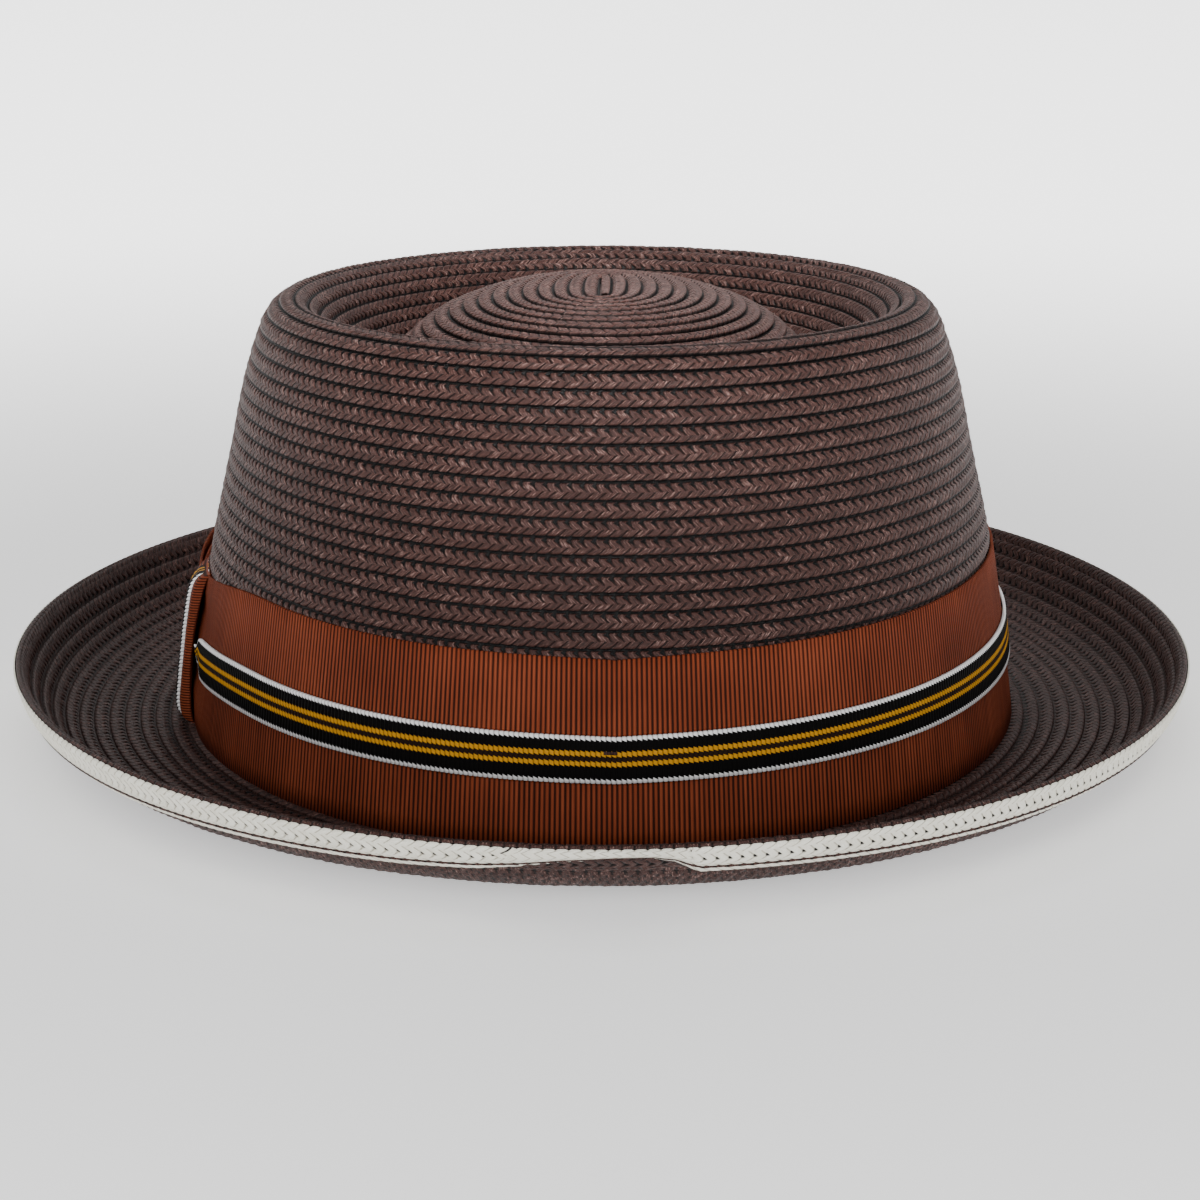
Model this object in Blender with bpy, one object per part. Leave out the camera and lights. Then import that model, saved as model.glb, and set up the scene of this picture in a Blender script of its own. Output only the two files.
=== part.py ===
"""Porkpie hat sewn from one long braid, with a ribbon band, a striped ribbon and a side bow.

Metres, +Z up. The wearer faces +Y and the bow is on the wearer's left, at -X. The origin lies on
the surface that the brim rests on, at the middle of the head oval.
"""
from collections import namedtuple
from math import asin, cos, hypot, pi, sin

import bmesh
import bpy
from mathutils import Vector

MM = 0.001

# Head opening and braid
HEAD_HALF_WIDTH = 83.5 * MM
HEAD_HALF_LENGTH = 100.3 * MM
BRAID_WALL = 1.2 * MM
FOLD_RADIUS = 2.4 * MM
CLEARANCE = 0.3 * MM

# Crown: the crest is the top line of its rim, over the head oval that it tapers from
CROWN_HEIGHT = 86.0 * MM
CREST_HALF_WIDTH = 63.4 * MM
CREST_HALF_LENGTH = 78.6 * MM
CREST_TILT = 3.4 * MM

# Telescoped tip: a moat inside the crest and a dome inside the moat
MOAT_WIDTH = 15.0 * MM
MOAT_DEPTH = 16.2 * MM
DOME_RISE = 17.2 * MM

# Brim
BRIM_WIDTH = 37.2 * MM
BRIM_RISE = 14.0 * MM

# Edge braid, sewn on the outer face of the brim along its rim, and its join at the centre back
EDGE_MARGIN = 0.6 * MM
EDGE_WIDTH = 7.0 * MM
EDGE_THICKNESS = 1.4 * MM
JOIN_SPAN = 40.0 * MM
JOIN_SHIFT = 4.0 * MM

# Band and striped ribbon
RIBBON_WIDTH = 35.4 * MM
RIBBON_THICKNESS = 1.0 * MM
STRIPE_WIDTH = 8.6 * MM
STRIPE_THICKNESS = 1.0 * MM
STRIPE_DROP = 0.4 * MM
BAND_CINCH = 5.0 * MM
CINCH_BEHIND = 47.0 * MM
CINCH_AHEAD = 80.0 * MM

# Side bow: a knot that cinches the band, and a flat loop in front of it
KNOT_LENGTH = 16.0 * MM
KNOT_SHIFT = 15.0 * MM
KNOT_WALL = 1.0 * MM
KNOT_SWELL = 0.6 * MM
LOOP_LENGTH = 58.0 * MM
LOOP_WALL = 1.0 * MM
LOOP_SWELL = 1.6 * MM
LOOP_INSET = 1.2 * MM

SIDES = 56
BOW_STEPS = 8
KNOT_STEPS = 4

Ring = namedtuple("Ring", "out up")
BrimRow = namedtuple("BrimRow", "name out end_rise side_rise")
CrownRow = namedtuple("CrownRow", "name taper up")
TipRow = namedtuple("TipRow", "name inset height")
EdgeRow = namedtuple("EdgeRow", "name across thick")
JoinRow = namedtuple("JoinRow", "name along width")
SwellRow = namedtuple("SwellRow", "name along proud")
Finish = namedtuple("Finish", "colour roughness")

# Underside of the brim: shares of its width, and of its rise at the hat's ends and at its sides
BRIM_ROWS = (
    BrimRow("rest", 0.34, 0.0, 0.0),
    BrimRow("roll start", 0.48, 0.07, 0.0),
    BrimRow("roll low", 0.62, 0.18, 0.04),
    BrimRow("roll middle", 0.76, 0.40, 0.17),
    BrimRow("roll high", 0.89, 0.71, 0.52),
    BrimRow("rim", 1.0, 1.0, 1.0),
)

# Inside of the crown's side: shares of its taper to the crest and of its height
CROWN_ROWS = (
    CrownRow("band middle", 0.125, 0.236),
    CrownRow("band top", 0.255, 0.436),
    CrownRow("side middle", 0.452, 0.649),
    CrownRow("side high", 0.640, 0.849),
    CrownRow("shoulder low", 0.742, 0.923),
    CrownRow("shoulder middle", 0.806, 0.962),
    CrownRow("shoulder high", 0.886, 0.987),
    CrownRow("crest", 1.0, 1.0),
)

# From the crest down to the moat's floor: shares of the moat's width and of its depth
MOAT_ROWS = (
    TipRow("lip", 0.20, 0.08),
    TipRow("wall high", 0.40, 0.28),
    TipRow("wall middle", 0.60, 0.56),
    TipRow("wall low", 0.80, 0.82),
    TipRow("floor", 1.0, 1.0),
)

# From the moat's floor to the middle: shares of the dome's half width and of its rise
DOME_ROWS = (
    TipRow("foot", 0.07, 0.03),
    TipRow("side", 0.155, 0.28),
    TipRow("shoulder", 0.29, 0.62),
    TipRow("upper", 0.48, 0.85),
    TipRow("high", 0.68, 0.96),
    TipRow("top", 0.88, 1.0),
)

# Edge braid across its width: two overlapped rows
EDGE_ROWS = (
    EdgeRow("rim", 0.0, 0.75),
    EdgeRow("outer row crown", 0.32, 1.0),
    EdgeRow("outer row foot", 0.62, 0.95),
    EdgeRow("inner row head", 0.68, 0.72),
    EdgeRow("inner row foot", 1.0, 0.72),
)

# Width of the edge braid along its join: the old end runs out under the new one
JOIN_ROWS = (
    JoinRow("old braid", -1.0, 1.0),
    JoinRow("narrowing", -0.55, 0.86),
    JoinRow("tucking", -0.25, 0.62),
    JoinRow("tuck start", 0.0, 0.36),
    JoinRow("tuck end", 0.18, 0.36),
    JoinRow("new end", 0.40, 0.86),
    JoinRow("new braid", 0.60, 1.0),
)

KNOT_SWELL_ROWS = (
    SwellRow("bottom", 0.0, 0.1),
    SwellRow("low", 0.16, 0.75),
    SwellRow("middle", 0.45, 1.0),
    SwellRow("high", 0.75, 0.85),
    SwellRow("top", 1.0, 0.1),
)

LOOP_SWELL_ROWS = (
    SwellRow("at the knot", 0.0, 0.2),
    SwellRow("opening", 0.3, 0.85),
    SwellRow("middle", 0.6, 1.0),
    SwellRow("fold", 0.92, 0.7),
    SwellRow("end", 1.0, 0.2),
)

FINISHES = {
    "braid_body": Finish((0.10, 0.06, 0.06), 0.62),
    "edge_braid": Finish((0.86, 0.84, 0.76), 0.55),
    "ribbon_band": Finish((0.20, 0.045, 0.017), 0.70),
    "stripe_ribbon": Finish((0.006, 0.005, 0.005), 0.65),
    "bow_knot": Finish((0.20, 0.045, 0.017), 0.70),
    "bow_loop": Finish((0.20, 0.045, 0.017), 0.70),
    "bow_knot_stripe": Finish((0.006, 0.005, 0.005), 0.65),
    "bow_loop_stripe": Finish((0.006, 0.005, 0.005), 0.65),
}

CREST_UP = CROWN_HEIGHT - BRAID_WALL
TAPER = HEAD_HALF_WIDTH - CREST_HALF_WIDTH
LENGTH_TAPER = HEAD_HALF_LENGTH - CREST_HALF_LENGTH
RIBBON_BOTTOM = BRAID_WALL + CLEARANCE
RIBBON_TOP = RIBBON_BOTTOM + RIBBON_WIDTH
STRIPE_BOTTOM = RIBBON_BOTTOM + (RIBBON_WIDTH - STRIPE_WIDTH) / 2 - STRIPE_DROP
RIBBON_OUT = CLEARANCE + RIBBON_THICKNESS


def read_rows(rows, share, column):
    """Value of a column at a share of the way along a table, straight between its rows."""
    if share <= rows[0].along:
        return getattr(rows[0], column)
    for low, high in zip(rows, rows[1:]):
        if share <= high.along:
            part = (share - low.along) / (high.along - low.along)
            return getattr(low, column) * (1 - part) + getattr(high, column) * part
    return getattr(rows[-1], column)


def half_length(out):
    """Half length of the oval that lies this far outside the head oval."""
    if out >= 0:
        return HEAD_HALF_LENGTH + out
    if out >= -TAPER:
        return HEAD_HALF_LENGTH + out * LENGTH_TAPER / TAPER
    return CREST_HALF_LENGTH + out + TAPER


def place(ring, angle):
    """Point of a ring at an angle round the hat; above the band the crown leans up to the back."""
    y = half_length(ring.out) * sin(angle)
    lean = max(0.0, (ring.up - RIBBON_TOP) / (CROWN_HEIGHT - RIBBON_TOP))
    lift = -CREST_TILT * lean * y / CREST_HALF_LENGTH
    return Vector(((HEAD_HALF_WIDTH + ring.out) * cos(angle), y, ring.up + lift))


def brim_under(angle):
    """Rings of the brim's underside at an angle, from the rim to the rest ring."""
    end = sin(angle) ** 2
    rings = []
    for row in reversed(BRIM_ROWS):
        rise = row.end_rise * end + row.side_rise * (1 - end)
        rings.append(Ring(BRIM_WIDTH * row.out, BRIM_RISE * rise))
    return rings


def crown_inside():
    """Rings of the crown's inside, from above the foot to the middle of the tip."""
    rings = [Ring(-TAPER * row.taper, CREST_UP * row.up) for row in CROWN_ROWS]
    for row in MOAT_ROWS:
        rings.append(Ring(-TAPER - MOAT_WIDTH * row.inset, CREST_UP - MOAT_DEPTH * row.height))
    floor = rings[-1]
    dome_half_width = CREST_HALF_WIDTH - MOAT_WIDTH
    for row in DOME_ROWS:
        rings.append(Ring(floor.out - dome_half_width * row.inset, floor.up + DOME_RISE * row.height))
    return rings


def fold_inside():
    """Rings of the rounded fold between the brim's underside and the crown's inside."""
    corner = FOLD_RADIUS * (1 - cos(pi / 4))
    return [Ring(FOLD_RADIUS, 0.0), Ring(corner, corner), Ring(0.0, FOLD_RADIUS)]


def side_normal(start, end):
    """Unit normal of a profile's stretch, towards the outside of the hat."""
    run = end.out - start.out
    rise = end.up - start.up
    length = hypot(run, rise)
    return rise / length, -run / length


def offset_profile(rings, distance):
    """Profile moved outwards by a distance, with mitred corners."""
    moved = []
    for index, ring in enumerate(rings):
        before = side_normal(*rings[max(index - 1, 0):][:2])
        after = side_normal(*rings[min(index, len(rings) - 2):][:2])
        scale = distance / (1 + before[0] * after[0] + before[1] * after[1])
        moved.append(Ring(ring.out + (before[0] + after[0]) * scale, ring.up + (before[1] + after[1]) * scale))
    return moved


def outer_profile(angle):
    """Rings of the braid's outer face at an angle, from the rim to the middle of the tip."""
    return offset_profile(brim_under(angle) + [Ring(0.0, 0.0)] + crown_inside(), BRAID_WALL)


def crown_out(up):
    """How far outside the head oval the crown's outer face is at a height."""
    side = outer_profile(0.0)[len(BRIM_ROWS):]
    for low, high in zip(side, side[1:]):
        if up <= high.up:
            break
    return low.out + (high.out - low.out) * (up - low.up) / (high.up - low.up)


def round_angles():
    """Angles of the columns that go once round the hat."""
    return [2 * pi * index / SIDES for index in range(SIDES)]


def left_angle(y):
    """Angle of the point on the wearer's left side with this Y."""
    return pi - asin(y / HEAD_HALF_LENGTH)


def new_object(name, builder):
    """Turn a finished bmesh into the object of this name, with its material."""
    bmesh.ops.recalc_face_normals(builder, faces=builder.faces)
    mesh = bpy.data.meshes.new(name)
    builder.to_mesh(mesh)
    builder.free()
    mesh.shade_smooth()
    mesh.set_sharp_from_angle(angle=pi / 5)
    finish = FINISHES[name]
    material = bpy.data.materials.new(name)
    material.use_nodes = True
    shader = material.node_tree.nodes["Principled BSDF"]
    shader.inputs["Base Color"].default_value = (*finish.colour, 1.0)
    shader.inputs["Roughness"].default_value = finish.roughness
    mesh.materials.append(material)
    bpy.context.scene.collection.objects.link(bpy.data.objects.new(name, mesh))


def join_loops(builder, first, second):
    """Faces between two closed loops of vertices with as many in each."""
    for index, vertex in enumerate(first):
        after = (index + 1) % len(first)
        builder.faces.new((vertex, first[after], second[after], second[index]))


def make_wall(name, near, far, closed):
    """Wall between two faces, given as columns of points; a closed one goes once round the hat."""
    builder = bmesh.new()
    loops = []
    for near_column, far_column in zip(near, far):
        loops.append([builder.verts.new(point) for point in near_column + far_column[::-1]])
    for first, second in zip(loops, loops[1:]):
        join_loops(builder, first, second)
    if closed:
        join_loops(builder, loops[-1], loops[0])
    else:
        builder.faces.new(loops[0])
        builder.faces.new(loops[-1])
    new_object(name, builder)


def make_braid_body():
    """Brim, crown and telescoped tip: one hollow shell of sewn braid, open below."""
    builder = bmesh.new()
    columns = []
    for angle in round_angles():
        rings = outer_profile(angle)[::-1] + brim_under(angle) + fold_inside() + crown_inside()
        columns.append([builder.verts.new(place(ring, angle)) for ring in rings])
    loops = list(zip(*columns))
    for first, second in zip(loops, loops[1:]):
        join_loops(builder, first, second)
    builder.faces.new(loops[0])
    builder.faces.new(loops[-1])
    new_object("braid_body", builder)


def below_rim(angle, distance, depth):
    """Ring at a distance from the rim along the brim's underside, and a depth outside it."""
    under = brim_under(angle)
    moved = offset_profile(under, -depth)
    left = distance
    for index, (start, end) in enumerate(zip(under, under[1:])):
        length = hypot(end.out - start.out, end.up - start.up)
        if left <= length:
            break
        left -= length
    start, end = moved[index], moved[index + 1]
    share = left / length
    return Ring(start.out + (end.out - start.out) * share, start.up + (end.up - start.up) * share)


def edge_angles():
    """Angles of the edge braid's columns, twice as close along the join at the centre back."""
    angles = []
    for angle in round_angles():
        angles.append(angle)
        if abs(angle - 3 * pi / 2) * HEAD_HALF_WIDTH < JOIN_SPAN:
            angles.append(angle + pi / SIDES)
    return angles


def make_edge_braid():
    """Contrast braid in two overlapped rows on the outer face of the brim, all round."""
    near, far = [], []
    for angle in edge_angles():
        along = ((HEAD_HALF_WIDTH + BRIM_WIDTH) * cos(angle) - JOIN_SHIFT) / JOIN_SPAN
        width = EDGE_WIDTH
        if sin(angle) < 0:
            width *= read_rows(JOIN_ROWS, along, "width")
        near_column, far_column = [], []
        for row in EDGE_ROWS:
            distance = EDGE_MARGIN + width * row.across
            near_column.append(place(below_rim(angle, distance, CLEARANCE), angle))
            far_column.append(place(below_rim(angle, distance, CLEARANCE + EDGE_THICKNESS * row.thick), angle))
        near.append(near_column)
        far.append(far_column)
    make_wall("edge_braid", near, far, True)


def cinch(angle):
    """Share of the band's cinch at an angle: whole at the knot, none a span away."""
    ahead = HEAD_HALF_LENGTH * sin(angle) + KNOT_SHIFT
    away = ahead / CINCH_AHEAD if ahead > 0 else -ahead / CINCH_BEHIND
    if cos(angle) > 0 or away >= 1:
        return 0.0
    return (1 + cos(pi * away)) / 2


def crown_strip(name, angles, shares, near_out, far_out, closed):
    """Strip along the band's height shares, between two distances outside the crown's outer face.

    The distances are functions of the share of the way along the strip and of the height share.
    """
    near, far = [], []
    for index, angle in enumerate(angles):
        along = index / (len(angles) - 1)
        width = RIBBON_WIDTH - BAND_CINCH * cinch(angle)
        near_column, far_column = [], []
        for share in shares:
            up = RIBBON_BOTTOM + width * share
            near_column.append(place(Ring(crown_out(up) + near_out(along, share), up), angle))
            far_column.append(place(Ring(crown_out(up) + far_out(along, share), up), angle))
        near.append(near_column)
        far.append(far_column)
    make_wall(name, near, far, closed)


def even_steps(low, high, steps):
    """Values from low to high in even steps."""
    return [low + (high - low) * index / steps for index in range(steps + 1)]


def stripe_shares():
    """Height shares of the band that the striped ribbon covers."""
    low = (STRIPE_BOTTOM - RIBBON_BOTTOM) / RIBBON_WIDTH
    return even_steps(low, low + STRIPE_WIDTH / RIBBON_WIDTH, 2)


def level(distance):
    """Face that keeps one distance outside the crown."""
    return lambda along, share: distance


def raised(face, height):
    """Face that lies a height outside another one."""
    return lambda along, share: face(along, share) + height


def knot_face(along, share):
    """Outer face of the knot, outside the crown."""
    del along
    return RIBBON_OUT + CLEARANCE + KNOT_WALL + KNOT_SWELL * read_rows(KNOT_SWELL_ROWS, share, "proud")


def loop_face(along, share):
    """Outer face of the loop, outside the crown: it swells between the knot and its folded end."""
    del share
    return RIBBON_OUT + CLEARANCE + LOOP_WALL + LOOP_SWELL * read_rows(LOOP_SWELL_ROWS, along, "proud")


def left_angles(start, end, steps):
    """Angles on the wearer's left between two distances in front of the middle."""
    return [left_angle(y) for y in even_steps(start, end, steps)]


KNOT_BACK = -KNOT_SHIFT - KNOT_LENGTH / 2
KNOT_FRONT = KNOT_BACK + KNOT_LENGTH
LOOP_BACK = KNOT_FRONT + CLEARANCE
LOOP_FRONT = LOOP_BACK + LOOP_LENGTH


def make_band():
    """Ribbon band round the crown's foot."""
    crown_strip(
        "ribbon_band", round_angles(), even_steps(0.0, 1.0, 4), level(CLEARANCE), level(RIBBON_OUT), True
    )


def make_stripe():
    """Striped ribbon along the band's middle, from the back of the knot round to the loop's end."""
    first = left_angle(KNOT_BACK - CLEARANCE)
    last = left_angle(LOOP_FRONT + CLEARANCE) + 2 * pi
    between = [angle for turn in (0.0, 2 * pi) for angle in (a + turn for a in round_angles())]
    gap = pi / SIDES / 2
    angles = [first] + [angle for angle in between if first + gap < angle < last - gap] + [last]
    crown_strip(
        "stripe_ribbon", angles, stripe_shares(),
        level(RIBBON_OUT + CLEARANCE), level(RIBBON_OUT + CLEARANCE + STRIPE_THICKNESS), False,
    )


def make_knot():
    """Upright knot of the bow, wrapped over the band, and the striped ribbon round it."""
    shares = even_steps(0.0, 1.0, 8)
    crown_strip(
        "bow_knot", left_angles(KNOT_BACK, KNOT_FRONT, KNOT_STEPS), shares,
        level(RIBBON_OUT + CLEARANCE), knot_face, False,
    )
    edge = (KNOT_LENGTH - STRIPE_WIDTH) / 2
    crown_strip(
        "bow_knot_stripe", left_angles(KNOT_BACK + edge, KNOT_FRONT - edge, KNOT_STEPS), shares,
        raised(knot_face, CLEARANCE), raised(knot_face, CLEARANCE + STRIPE_THICKNESS), False,
    )


def make_loop():
    """Flat loop of the bow in front of the knot, and the striped ribbon along it."""
    inset = LOOP_INSET / RIBBON_WIDTH
    angles = left_angles(LOOP_BACK, LOOP_FRONT, BOW_STEPS)
    crown_strip(
        "bow_loop", angles, even_steps(inset, 1 - inset, 5), level(RIBBON_OUT + CLEARANCE), loop_face, False
    )
    crown_strip(
        "bow_loop_stripe", angles, stripe_shares(),
        raised(loop_face, CLEARANCE), raised(loop_face, CLEARANCE + STRIPE_THICKNESS), False,
    )


def main():
    """Model the hat in an empty scene."""
    for leftover in list(bpy.data.objects):
        bpy.data.objects.remove(leftover, do_unlink=True)
    make_braid_body()
    make_edge_braid()
    make_band()
    make_stripe()
    make_knot()
    make_loop()


main()
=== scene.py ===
"""Looks of a porkpie hat sewn from one long braid, with a ribbon band, a striped ribbon and a side bow.

Metres, +Z up. The wearer faces +Y and the bow is on the wearer's left, at -X.
"""
import logging
from dataclasses import dataclass, replace
from enum import Enum
from math import cos, pi, radians, sin

import bmesh
import bpy
import numpy as np
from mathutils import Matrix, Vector

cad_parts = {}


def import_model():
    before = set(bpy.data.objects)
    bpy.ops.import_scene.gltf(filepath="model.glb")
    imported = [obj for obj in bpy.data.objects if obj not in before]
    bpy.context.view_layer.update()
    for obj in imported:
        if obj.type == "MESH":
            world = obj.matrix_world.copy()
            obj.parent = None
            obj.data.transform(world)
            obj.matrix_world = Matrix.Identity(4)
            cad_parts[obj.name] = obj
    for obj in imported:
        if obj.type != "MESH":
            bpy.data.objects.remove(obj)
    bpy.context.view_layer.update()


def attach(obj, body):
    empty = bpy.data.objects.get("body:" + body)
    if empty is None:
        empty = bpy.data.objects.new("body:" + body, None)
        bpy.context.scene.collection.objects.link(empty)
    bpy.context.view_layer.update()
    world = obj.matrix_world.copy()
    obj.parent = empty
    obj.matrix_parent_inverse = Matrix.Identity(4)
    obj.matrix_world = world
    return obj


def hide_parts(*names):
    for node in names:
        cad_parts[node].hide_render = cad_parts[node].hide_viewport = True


LOG = logging.getLogger("porkpie")
MM = 0.001
BACK = -pi / 2
MERGE = 0.002 * MM
ONCE_ROUND = 1441


class Facing(Enum):
    """Side of the hat's wall that a sheet of rows lies on."""

    OUTSIDE = 1
    INSIDE = -1


def smooth_line(points: np.ndarray, steps: int = 16) -> np.ndarray:
    """Smooth line through a profile's points.

    Args:
        points: Profile points, one a row.
        steps: New points in each span.

    Returns:
        The denser line.
    """
    gaps = np.linalg.norm(np.diff(points, axis=0), axis=1)[:, None]
    slopes = np.diff(points, axis=0) / gaps
    tangents = np.empty_like(points)
    tangents[0], tangents[-1] = slopes[0], slopes[-1]
    tangents[1:-1] = (slopes[:-1] * gaps[1:] + slopes[1:] * gaps[:-1]) / (gaps[1:] + gaps[:-1])
    line = []
    for index, gap in enumerate(gaps[:, 0]):
        part = np.linspace(0, 1, steps, endpoint=False)[:, None]
        line.append(
            points[index] * (2 * part**3 - 3 * part**2 + 1)
            + tangents[index] * gap * (part**3 - 2 * part**2 + part)
            + points[index + 1] * (3 * part**2 - 2 * part**3)
            + tangents[index + 1] * gap * (part**3 - part**2)
        )
    line.append(points[-1:])
    return np.concatenate(line)


def running_length(points: np.ndarray) -> np.ndarray:
    """Length along a line of points up to each of them."""
    return np.concatenate([[0.0], np.cumsum(np.linalg.norm(np.diff(points, axis=0), axis=1))])


def ease(low: float, high: float, value: np.ndarray) -> np.ndarray:
    """Smooth step from 0 at low to 1 at high."""
    part = np.clip((value - low) / (high - low), 0, 1)
    return part * part * (3 - 2 * part)


@dataclass(frozen=True)
class HatForm:
    """Sizes of the hat's wall, and the places of points on it."""

    head_half_width: float = 83.5 * MM
    head_half_length: float = 100.3 * MM
    wall: float = 1.2 * MM
    fold_radius: float = 2.4 * MM
    crown_height: float = 86.0 * MM
    crest_half_width: float = 63.4 * MM
    crest_half_length: float = 78.6 * MM
    crest_tilt: float = 3.4 * MM
    moat_width: float = 15.0 * MM
    moat_depth: float = 16.2 * MM
    dome_rise: float = 17.2 * MM
    brim_width: float = 37.2 * MM
    brim_rise: float = 14.0 * MM
    ribbon_bottom: float = 1.5 * MM
    ribbon_width: float = 35.4 * MM
    foot_cover: float = 4.0 * MM
    foot_cut: float = 0.35 * MM
    smallest_oval: float = 0.02 * MM

    # Shares of the brim's width, and of its rise at the hat's ends and at its sides
    brim_rows = (
        (1.0, 1.0, 1.0), (0.89, 0.71, 0.52), (0.76, 0.40, 0.17), (0.62, 0.18, 0.04), (0.48, 0.07, 0.0),
        (0.34, 0.0, 0.0),
    )
    # Shares of the crown's taper and height, of the moat's width and depth, and of the dome's
    crown_rows = (
        (0.125, 0.236), (0.255, 0.436), (0.452, 0.649), (0.640, 0.849), (0.742, 0.923), (0.806, 0.962),
        (0.886, 0.987), (1.0, 1.0),
    )
    moat_rows = ((0.20, 0.08), (0.40, 0.28), (0.60, 0.56), (0.80, 0.82), (1.0, 1.0))
    # Roundness of the ovals at the tip's middle, its gain further out, and the half width where it is full
    tip_roundness = (0.32, 0.68, 48 * MM)
    # Millimetres out from the rim and up, round its own edge
    rim_rows = ((0.30, 0.03), (0.50, 0.14))
    dome_rows = ((0.07, 0.03), (0.155, 0.28), (0.29, 0.62), (0.48, 0.85), (0.68, 0.96), (0.88, 1.0))

    @property
    def crest_up(self) -> float:
        """Height of the crest's inner face."""
        return self.crown_height - self.wall

    @property
    def taper(self) -> float:
        """How far the crown leans in from the head oval to the crest."""
        return self.head_half_width - self.crest_half_width

    @property
    def ribbon_top(self) -> float:
        """Height of the band's upper edge."""
        return self.ribbon_bottom + self.ribbon_width

    def half_length(self, out: np.ndarray) -> np.ndarray:
        """Half length of the oval that lies this far outside the head oval."""
        slope = (self.head_half_length - self.crest_half_length) / self.taper
        tip = self.crest_half_length + out + self.taper
        leaning = np.where(out >= -self.taper, self.head_half_length + out * slope, tip)
        return np.where(out >= 0, self.head_half_length + out, leaning)

    def place(self, out: np.ndarray, up: np.ndarray, angle: np.ndarray) -> np.ndarray:
        """Points of the hat from their distance outside the head oval, height and angle.

        Args:
            out: Distance outside the head oval.
            up: Height before the crown's lean.
            angle: Angle round the hat, from +X towards +Y.

        Returns:
            Points, with their coordinates in the last axis. Ovals near the middle of the tip have
            straighter sides, because the braid starts there along a line.
        """
        half_width = np.maximum(self.head_half_width + out, self.smallest_oval)
        half_length = self.half_length(half_width - self.head_half_width)
        core = self.crest_half_length - self.crest_half_width
        least, gain, true_at = self.tip_roundness
        squareness = np.minimum(1.0, least + gain * np.sqrt(half_width / true_at))
        side = np.sin(angle)
        turned = side / np.sqrt(side**2 + (squareness * np.cos(angle)) ** 2)
        y = half_length * side + np.where(squareness < 1, core * (turned - side), 0.0)
        lean = np.maximum(0.0, (up - self.ribbon_top) / (self.crown_height - self.ribbon_top))
        lift = -self.crest_tilt * lean * y / self.crest_half_length
        return np.stack(np.broadcast_arrays(half_width * np.cos(angle), y, up + lift), axis=-1)

    def brim_under(self, end: float) -> np.ndarray:
        """Profile of the brim's underside from the rim in; end is 1 at the hat's ends and 0 at its sides."""
        rows = np.array(self.brim_rows)
        rise = rows[:, 1] * end + rows[:, 2] * (1 - end)
        return np.stack([self.brim_width * rows[:, 0], self.brim_rise * rise], axis=1)

    def crown_inside(self) -> np.ndarray:
        """Profile of the crown's inside from above the foot to the middle of the tip."""
        crown, moat, dome = (np.array(rows) for rows in (self.crown_rows, self.moat_rows, self.dome_rows))
        floor = (-self.taper - self.moat_width, self.crest_up - self.moat_depth)
        dome_half = self.crest_half_width - self.moat_width
        return np.concatenate([
            np.stack([-self.taper * crown[:, 0], self.crest_up * crown[:, 1]], axis=1),
            np.stack([
                -self.taper - self.moat_width * moat[:, 0],
                self.crest_up - self.moat_depth * moat[:, 1],
            ], axis=1),
            np.stack([floor[0] - dome_half * dome[:, 0], floor[1] + self.dome_rise * dome[:, 1]], axis=1),
            [[-self.head_half_width, floor[1] + self.dome_rise]],
        ])

    def moved(self, profile: np.ndarray, distance: float) -> np.ndarray:
        """Profile moved towards the outside of the hat by a distance, with mitred corners."""
        steps = np.diff(profile, axis=0)
        steps /= np.linalg.norm(steps, axis=1)[:, None]
        normals = np.stack([steps[:, 1], -steps[:, 0]], axis=1)
        before = np.concatenate([normals[:1], normals])
        after = np.concatenate([normals, normals[-1:]])
        return profile + (before + after) * distance / (1 + (before * after).sum(axis=1, keepdims=True))

    def outer_profile(self, end: float) -> np.ndarray:
        """Profile of the braid's outer face from the rim, over the brim and crown, to the tip's middle."""
        whole = np.concatenate([self.brim_under(end), [[0.0, 0.0]], self.crown_inside()])
        return self.moved(whole, self.wall)

    def brim_top(self, end: float) -> np.ndarray:
        """Profile of the brim's upper face, from a little way up the crown's foot out to the rim."""
        outer = self.outer_profile(end)[: len(self.brim_rows) + 2][::-1]
        foot = outer[1]
        wall = (outer[0] - foot) / np.linalg.norm(outer[0] - foot)
        brim = (outer[2] - foot) / np.linalg.norm(outer[2] - foot)
        corner = [
            foot + wall * self.foot_cover,
            foot + wall * self.wall,
            foot + (wall + brim) * self.foot_cut,
            foot + brim * self.wall,
        ]
        return np.concatenate([corner, outer[2:]])

    def rim_wrap(self, end: float) -> np.ndarray:
        """Profile round the rim's own edge, from the underside up."""
        rim, inner = self.brim_under(end)[:2]
        outward = (rim - inner) / np.linalg.norm(rim - inner)
        lift = np.array([-outward[1], outward[0]])
        return np.array([rim + (outward * out + lift * up) * MM for out, up in self.rim_rows])

    def crown_out(self, up: np.ndarray) -> np.ndarray:
        """How far outside the head oval the crown's outer face is at a height."""
        side = self.outer_profile(0.0)[len(self.brim_rows):]
        top = int(np.argmax(side[:, 1] >= self.crown_height * 0.999)) + 1
        return np.interp(up, side[:top, 1], side[:top, 0])


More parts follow.
